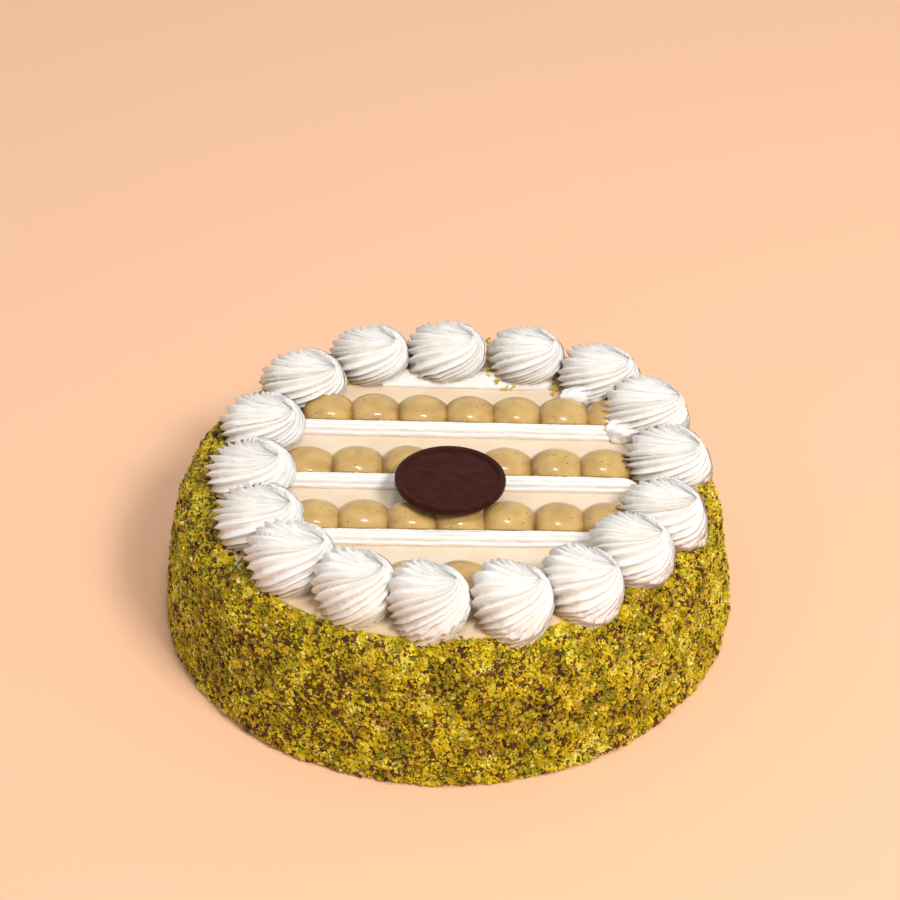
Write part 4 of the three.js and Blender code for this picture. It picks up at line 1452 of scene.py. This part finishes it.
@dataclass
class DomeRow:
    """A row of nut-cream domes, each piped a little over the one on its left, behind the row's stripe.

    A row that is held back keeps out of the stripe's room: how far behind the row's front edge it starts,
    and how much closer it comes with each millimetre of height. A dome's swell and sway have a size and a
    distance apart, and it leans down towards its right and up towards the back.
    """

    row: Row
    number: int
    count: int
    pitch: float
    held_back: bool = True
    half_width: float = 11.5
    half_depth: float = 10.75
    back: float = 26.45
    overlap: float = 0.8
    stripe_room: tuple[float, float] = (9.0, 0.85)
    give: float = 0.5
    sunk: float = 0.6
    fill: float = 0.97
    roundness: float = 0.84
    leans: tuple[float, float] = (-0.09, 0.03)
    points: tuple[float, float] = (0.0, 0.07)
    swell: tuple[float, float] = (0.3, 9.0)
    sway: tuple[float, float] = (0.35, 8.0)
    dome_shade_from: tuple[float, float] = (0.5, 1.0)
    columns: int = 80
    rings: int = 44

    def build(self) -> None:
        """Pipes the domes of the row from left to right."""
        middle_across = self.back - self.half_depth
        firsts = [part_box(f"nut_dome_{self.number}_{i + 1}")[0].x / MM for i in range(self.count)]
        middles = [self.row.along(x, middle_across) + self.half_width for x in firsts]
        middles[0] = middles[1] - self.pitch
        for i, middle in enumerate(middles):
            self.dome(i + 1, middle, middle_across)

    def dome(self, number: int, along: float, across: float) -> None:
        """Pipes one dome: fuller on its left, where it lies over its neighbour, and lower on its right.

        Args:
            number: Its place in the row, from the left.
            along: Where its middle is along the row.
            across: Where its middle is behind the row's front edge.
        """
        node = f"nut_dome_{self.number}_{number}"
        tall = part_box(node)[1].z / MM - self.row.form.height
        draw = np.random.default_rng(10 * self.number + number)
        mesh = ball_mesh(self.columns, self.rings)
        x, y, z = corners_of(mesh).T
        up = z > 0
        lean = 1 + self.leans[0] * x + self.leans[1] * y
        point = draw.uniform(*self.points) * np.exp(-((x + 0.1) ** 2 + y**2) / 0.05)
        crown = tall * (self.fill * np.abs(z) ** self.roundness * lean + point)
        places = np.stack([
            along - self.overlap / 2 + (self.half_width + self.overlap / 2) * x,
            across + self.half_depth * y,
            np.where(up, crown, -self.sunk * np.clip(-4 * z, 0, 1)),
        ], axis=1)
        shift = 9.1 * number + self.number
        swell, swell_grain = self.swell
        sway, sway_grain = self.sway
        places[:, 2] += np.where(up, swell * lumps(places, swell_grain, shift) * z, 0)
        places[:, 0] += sway * lumps(places, sway_grain, shift + 3) * up
        if self.held_back:
            stop, slope = self.stripe_room
            limit = stop - slope * np.maximum(0, places[:, 2] - 2)
            over = np.maximum(0, limit - places[:, 1])
            places[:, 1] += over - self.give * (1 - np.exp(-over / self.give))
        places[:, 2] = np.minimum(places[:, 2], tall)
        move_corners(mesh, self.row.on_cake(places))
        # Painted shade for the nut cream: darker round the dome's sides and back.
        write_attribute(mesh, "painted_dome_shade", smoothstep(np.hypot(x, np.maximum(0, y)), *self.dome_shade_from))
        finished(f"piped_dome_{self.number}_{number}", mesh, NUT_CREAM, node)


@dataclass
class Medallion:
    """The moulded chocolate disc, with a raised rim, an inner groove and a plain sprig."""

    tilt: tuple[float, float] = (-2.0, 1.6)
    thickness: float = 3.2
    rim: float = 2.6
    field_depth: float = 0.7
    sides: int = 144
    nut_size: tuple[float, float, float] = (4.6, 3.0, 1.0)
    nut_place: tuple[float, float] = (0.0, -2.2)
    leaf_size: tuple[float, float, float] = (6.2, 2.2, 0.85)
    leaf_place: tuple[float, float] = (7.6, 3.4)
    leaf_turn: float = 24.0
    sprig_sunk: float = 0.2
    chipped: float = 0.05
    chipped_front: float = 0.22
    chip_grain: float = 1.6
    chip_down: float = 0.6
    front_from: tuple[float, float] = (4.0, 18.0)

    @property
    def ground(self) -> float:
        """Height of the field inside the rim."""
        return self.thickness - self.field_depth

    def section(self, radius: float) -> list[tuple[float, float]]:
        """Draws half of the disc's section: rounded edges, a raised rim, a groove inside it, and the field.

        Args:
            radius: The disc's radius.

        Returns:
            Distances from the middle and heights, from the underside round to the field's middle.
        """
        top, ground, inner = self.thickness, self.ground, radius - self.rim
        return [
            (0, 0), (radius - 1.1, 0), (radius - 0.5, 0.15), (radius - 0.12, 0.6), (radius, 1.2),
            (radius, top - 0.9), (radius - 0.15, top - 0.4), (radius - 0.55, top - 0.08),
            (radius - 1.1, top), (inner + 0.5, top), (inner + 0.15, top - 0.1), (inner, top - 0.35),
            (inner - 0.15, ground - 0.1), (inner - 0.45, ground - 0.25), (inner - 0.9, ground - 0.12),
            (inner - 1.3, ground), (inner * 0.6, ground), (inner * 0.3, ground), (0, ground),
        ]

    def build(self) -> None:
        """Turns the disc, lays the sprig on its field, chips its edge, and sets it on the domes."""
        low, high = (np.array(corner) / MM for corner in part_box("chocolate_medallion"))
        radius = (high[0] - low[0]) / 2 - CLEAR_MM
        bm = turned_outline(self.section(radius), self.sides)
        laid = self.ground - self.sprig_sunk
        self.half_ball(bm, self.nut_size, (*self.nut_place, laid), 0.0)
        for side in (-1, 1):
            place = (side * self.leaf_place[0], self.leaf_place[1], laid)
            self.half_ball(bm, self.leaf_size, place, side * math.radians(self.leaf_turn))
        mesh = mesh_of(bm)
        places = corners_of(mesh)
        reach = np.hypot(places[:, 0], places[:, 1])
        chips = np.abs(smoothstep(reach, radius - self.rim, radius) * lumps(places, self.chip_grain, 2.0))
        chips *= self.chipped + self.chipped_front * smoothstep(-places[:, 1], *self.front_from)
        places[:, :2] -= places[:, :2] * (chips / np.maximum(reach, 1))[:, None]
        places[:, 2] -= self.chip_down * chips
        turn = Matrix.Rotation(math.radians(self.tilt[0]), 3, "X")
        turn = turn @ Matrix.Rotation(math.radians(self.tilt[1]), 3, "Y")
        places = places @ np.array(turn).T
        places += (*((high + low) / 2)[:2], low[2] - places[:, 2].min())
        move_corners(mesh, places)
        finished("moulded_medallion", mesh, DARK_CHOCOLATE, "chocolate_medallion")

    @staticmethod
    def half_ball(bm: bmesh.types.BMesh, size: tuple[float, float, float],
                  place: tuple[float, float, float], turn: float) -> None:
        """Lays a low rounded form on the disc's field.

        Args:
            bm: The disc.
            size: Half sizes along the form, across it and up.
            place: Middle of the form.
            turn: Its turn about the upright, in radians.
        """
        matrix = Matrix.Translation(place) @ Matrix.Rotation(turn, 4, "Z") @ Matrix.Diagonal((*size, 1))
        ball = bmesh.ops.create_uvsphere(bm, u_segments=40, v_segments=20, radius=1.0, matrix=matrix)
        below = [v for v in ball["verts"] if v.co.z < place[2] - 1e-4]
        bmesh.ops.delete(bm, geom=below, context="VERTS")


@dataclass(frozen=True)
class Lamp:
    """A soft light that faces the cake: its place and sides in millimetres, its power, and its turn."""

    name: str
    place: tuple[float, float, float]
    sides: tuple[float, float]
    watts: float
    turn: float = 0.0
    mirrored: bool = True
    colour: str = "#FFFDFB"
    aim_height: float = 40.0

    def hang(self) -> None:
        """Hangs the light. One that isn't mirrored leaves no highlight of its own on glossy cream."""
        light = bpy.data.lights.new(self.name, "AREA")
        light.shape = "RECTANGLE"
        light.size, light.size_y = (side * MM for side in self.sides)
        light.energy = self.watts
        light.color = linear(self.colour)[:3]
        holder = bpy.data.objects.new(self.name, light)
        holder.location = Vector(self.place) * MM
        aim = Vector((0, 0, self.aim_height * MM)) - holder.location
        spun = Matrix.Rotation(math.radians(self.turn), 3, "Z")
        holder.rotation_euler = (aim.to_track_quat("-Z", "Y").to_matrix() @ spun).to_euler()
        holder.visible_glossy = self.mirrored
        bpy.context.scene.collection.objects.link(holder)


@dataclass
class Studio:
    """The pale floor, the soft lights and the camera at the photo's angle."""

    pitch: float = 37.0
    camera_place: tuple[float, float, float] = (1.09, -842.45, 709.8)
    focal: float = 102.13
    sensor: float = 36.0
    floor_radius: float = 4000.0
    sky_colour: str = "#F4F8FF"
    sky_strength: float = 0.555
    lamps: tuple[Lamp, ...] = (
        Lamp("key", (1144, -1184, 1938), (768, 512), 41.0, mirrored=False),
        Lamp("strip", (104, -130, 1330), (280, 84), 3.2, turn=-45.0),
    )

    def floor(self) -> None:
        """Lays a large round sheet of pale paper under the cake."""
        bm = bmesh.new()
        bmesh.ops.create_circle(bm, cap_ends=True, segments=64, radius=self.floor_radius * MM)
        mesh = mesh_of(bm)
        mesh.materials.append(PALE_PAPER.material())
        sheet = bpy.data.objects.new("floor", mesh)
        bpy.context.scene.collection.objects.link(sheet)

    def sky(self) -> None:
        """Fills the room with even, slightly cool light."""
        world = bpy.data.worlds.new("studio")
        world.use_nodes = True
        light = next(n for n in world.node_tree.nodes if n.type == "BACKGROUND")
        light.inputs["Color"].default_value = linear(self.sky_colour)
        light.inputs["Strength"].default_value = self.sky_strength
        bpy.context.scene.world = world

    def camera(self) -> None:
        """Sets up the camera at the photo's angle."""
        view = bpy.data.cameras.new("camera")
        view.lens = self.focal
        view.sensor_width = self.sensor
        view.clip_end = 20.0
        camera = bpy.data.objects.new("camera", view)
        camera.location = Vector(self.camera_place) * MM
        camera.rotation_euler = (math.radians(90 - self.pitch), 0, 0)
        bpy.context.scene.collection.objects.link(camera)
        bpy.context.scene.camera = camera
        bpy.context.scene.view_settings.view_transform = "Standard"

    def build(self) -> None:
        """Sets up floor, lights, sky and camera."""
        self.floor()
        for lamp in self.lamps:
            lamp.hang()
        self.sky()
        self.camera()


ROW_TURNS = (-2.6, -2.1, -1.8, -1.2, -1.0)
DOMES = ((7, 20.1), (7, 20.65), (7, 19.85), (5, 20.1))


def main() -> None:
    """Builds the studio and every part of the cake."""
    Studio().build()
    form = CakeForm()
    Coat(form).build()
    CreamLayer(form).build()
    Spills(CrumbKind.FINE.value).build()
    RosetteRing(form).build()
    rows = [Row(i + 1, turn, form) for i, turn in enumerate(ROW_TURNS)]
    Stripe(rows[0], width=12.0, ridges=0, bend=0.5).build()
    for row in rows[1:-1]:
        Stripe(row).build()
    for number, (count, pitch) in enumerate(DOMES, start=1):
        DomeRow(rows[number], number, count, pitch, held_back=number < len(DOMES)).build()
    Medallion().build()


if __name__ == "__main__":
    logging.basicConfig(level=logging.INFO, format="%(name)s: %(message)s")
    main()
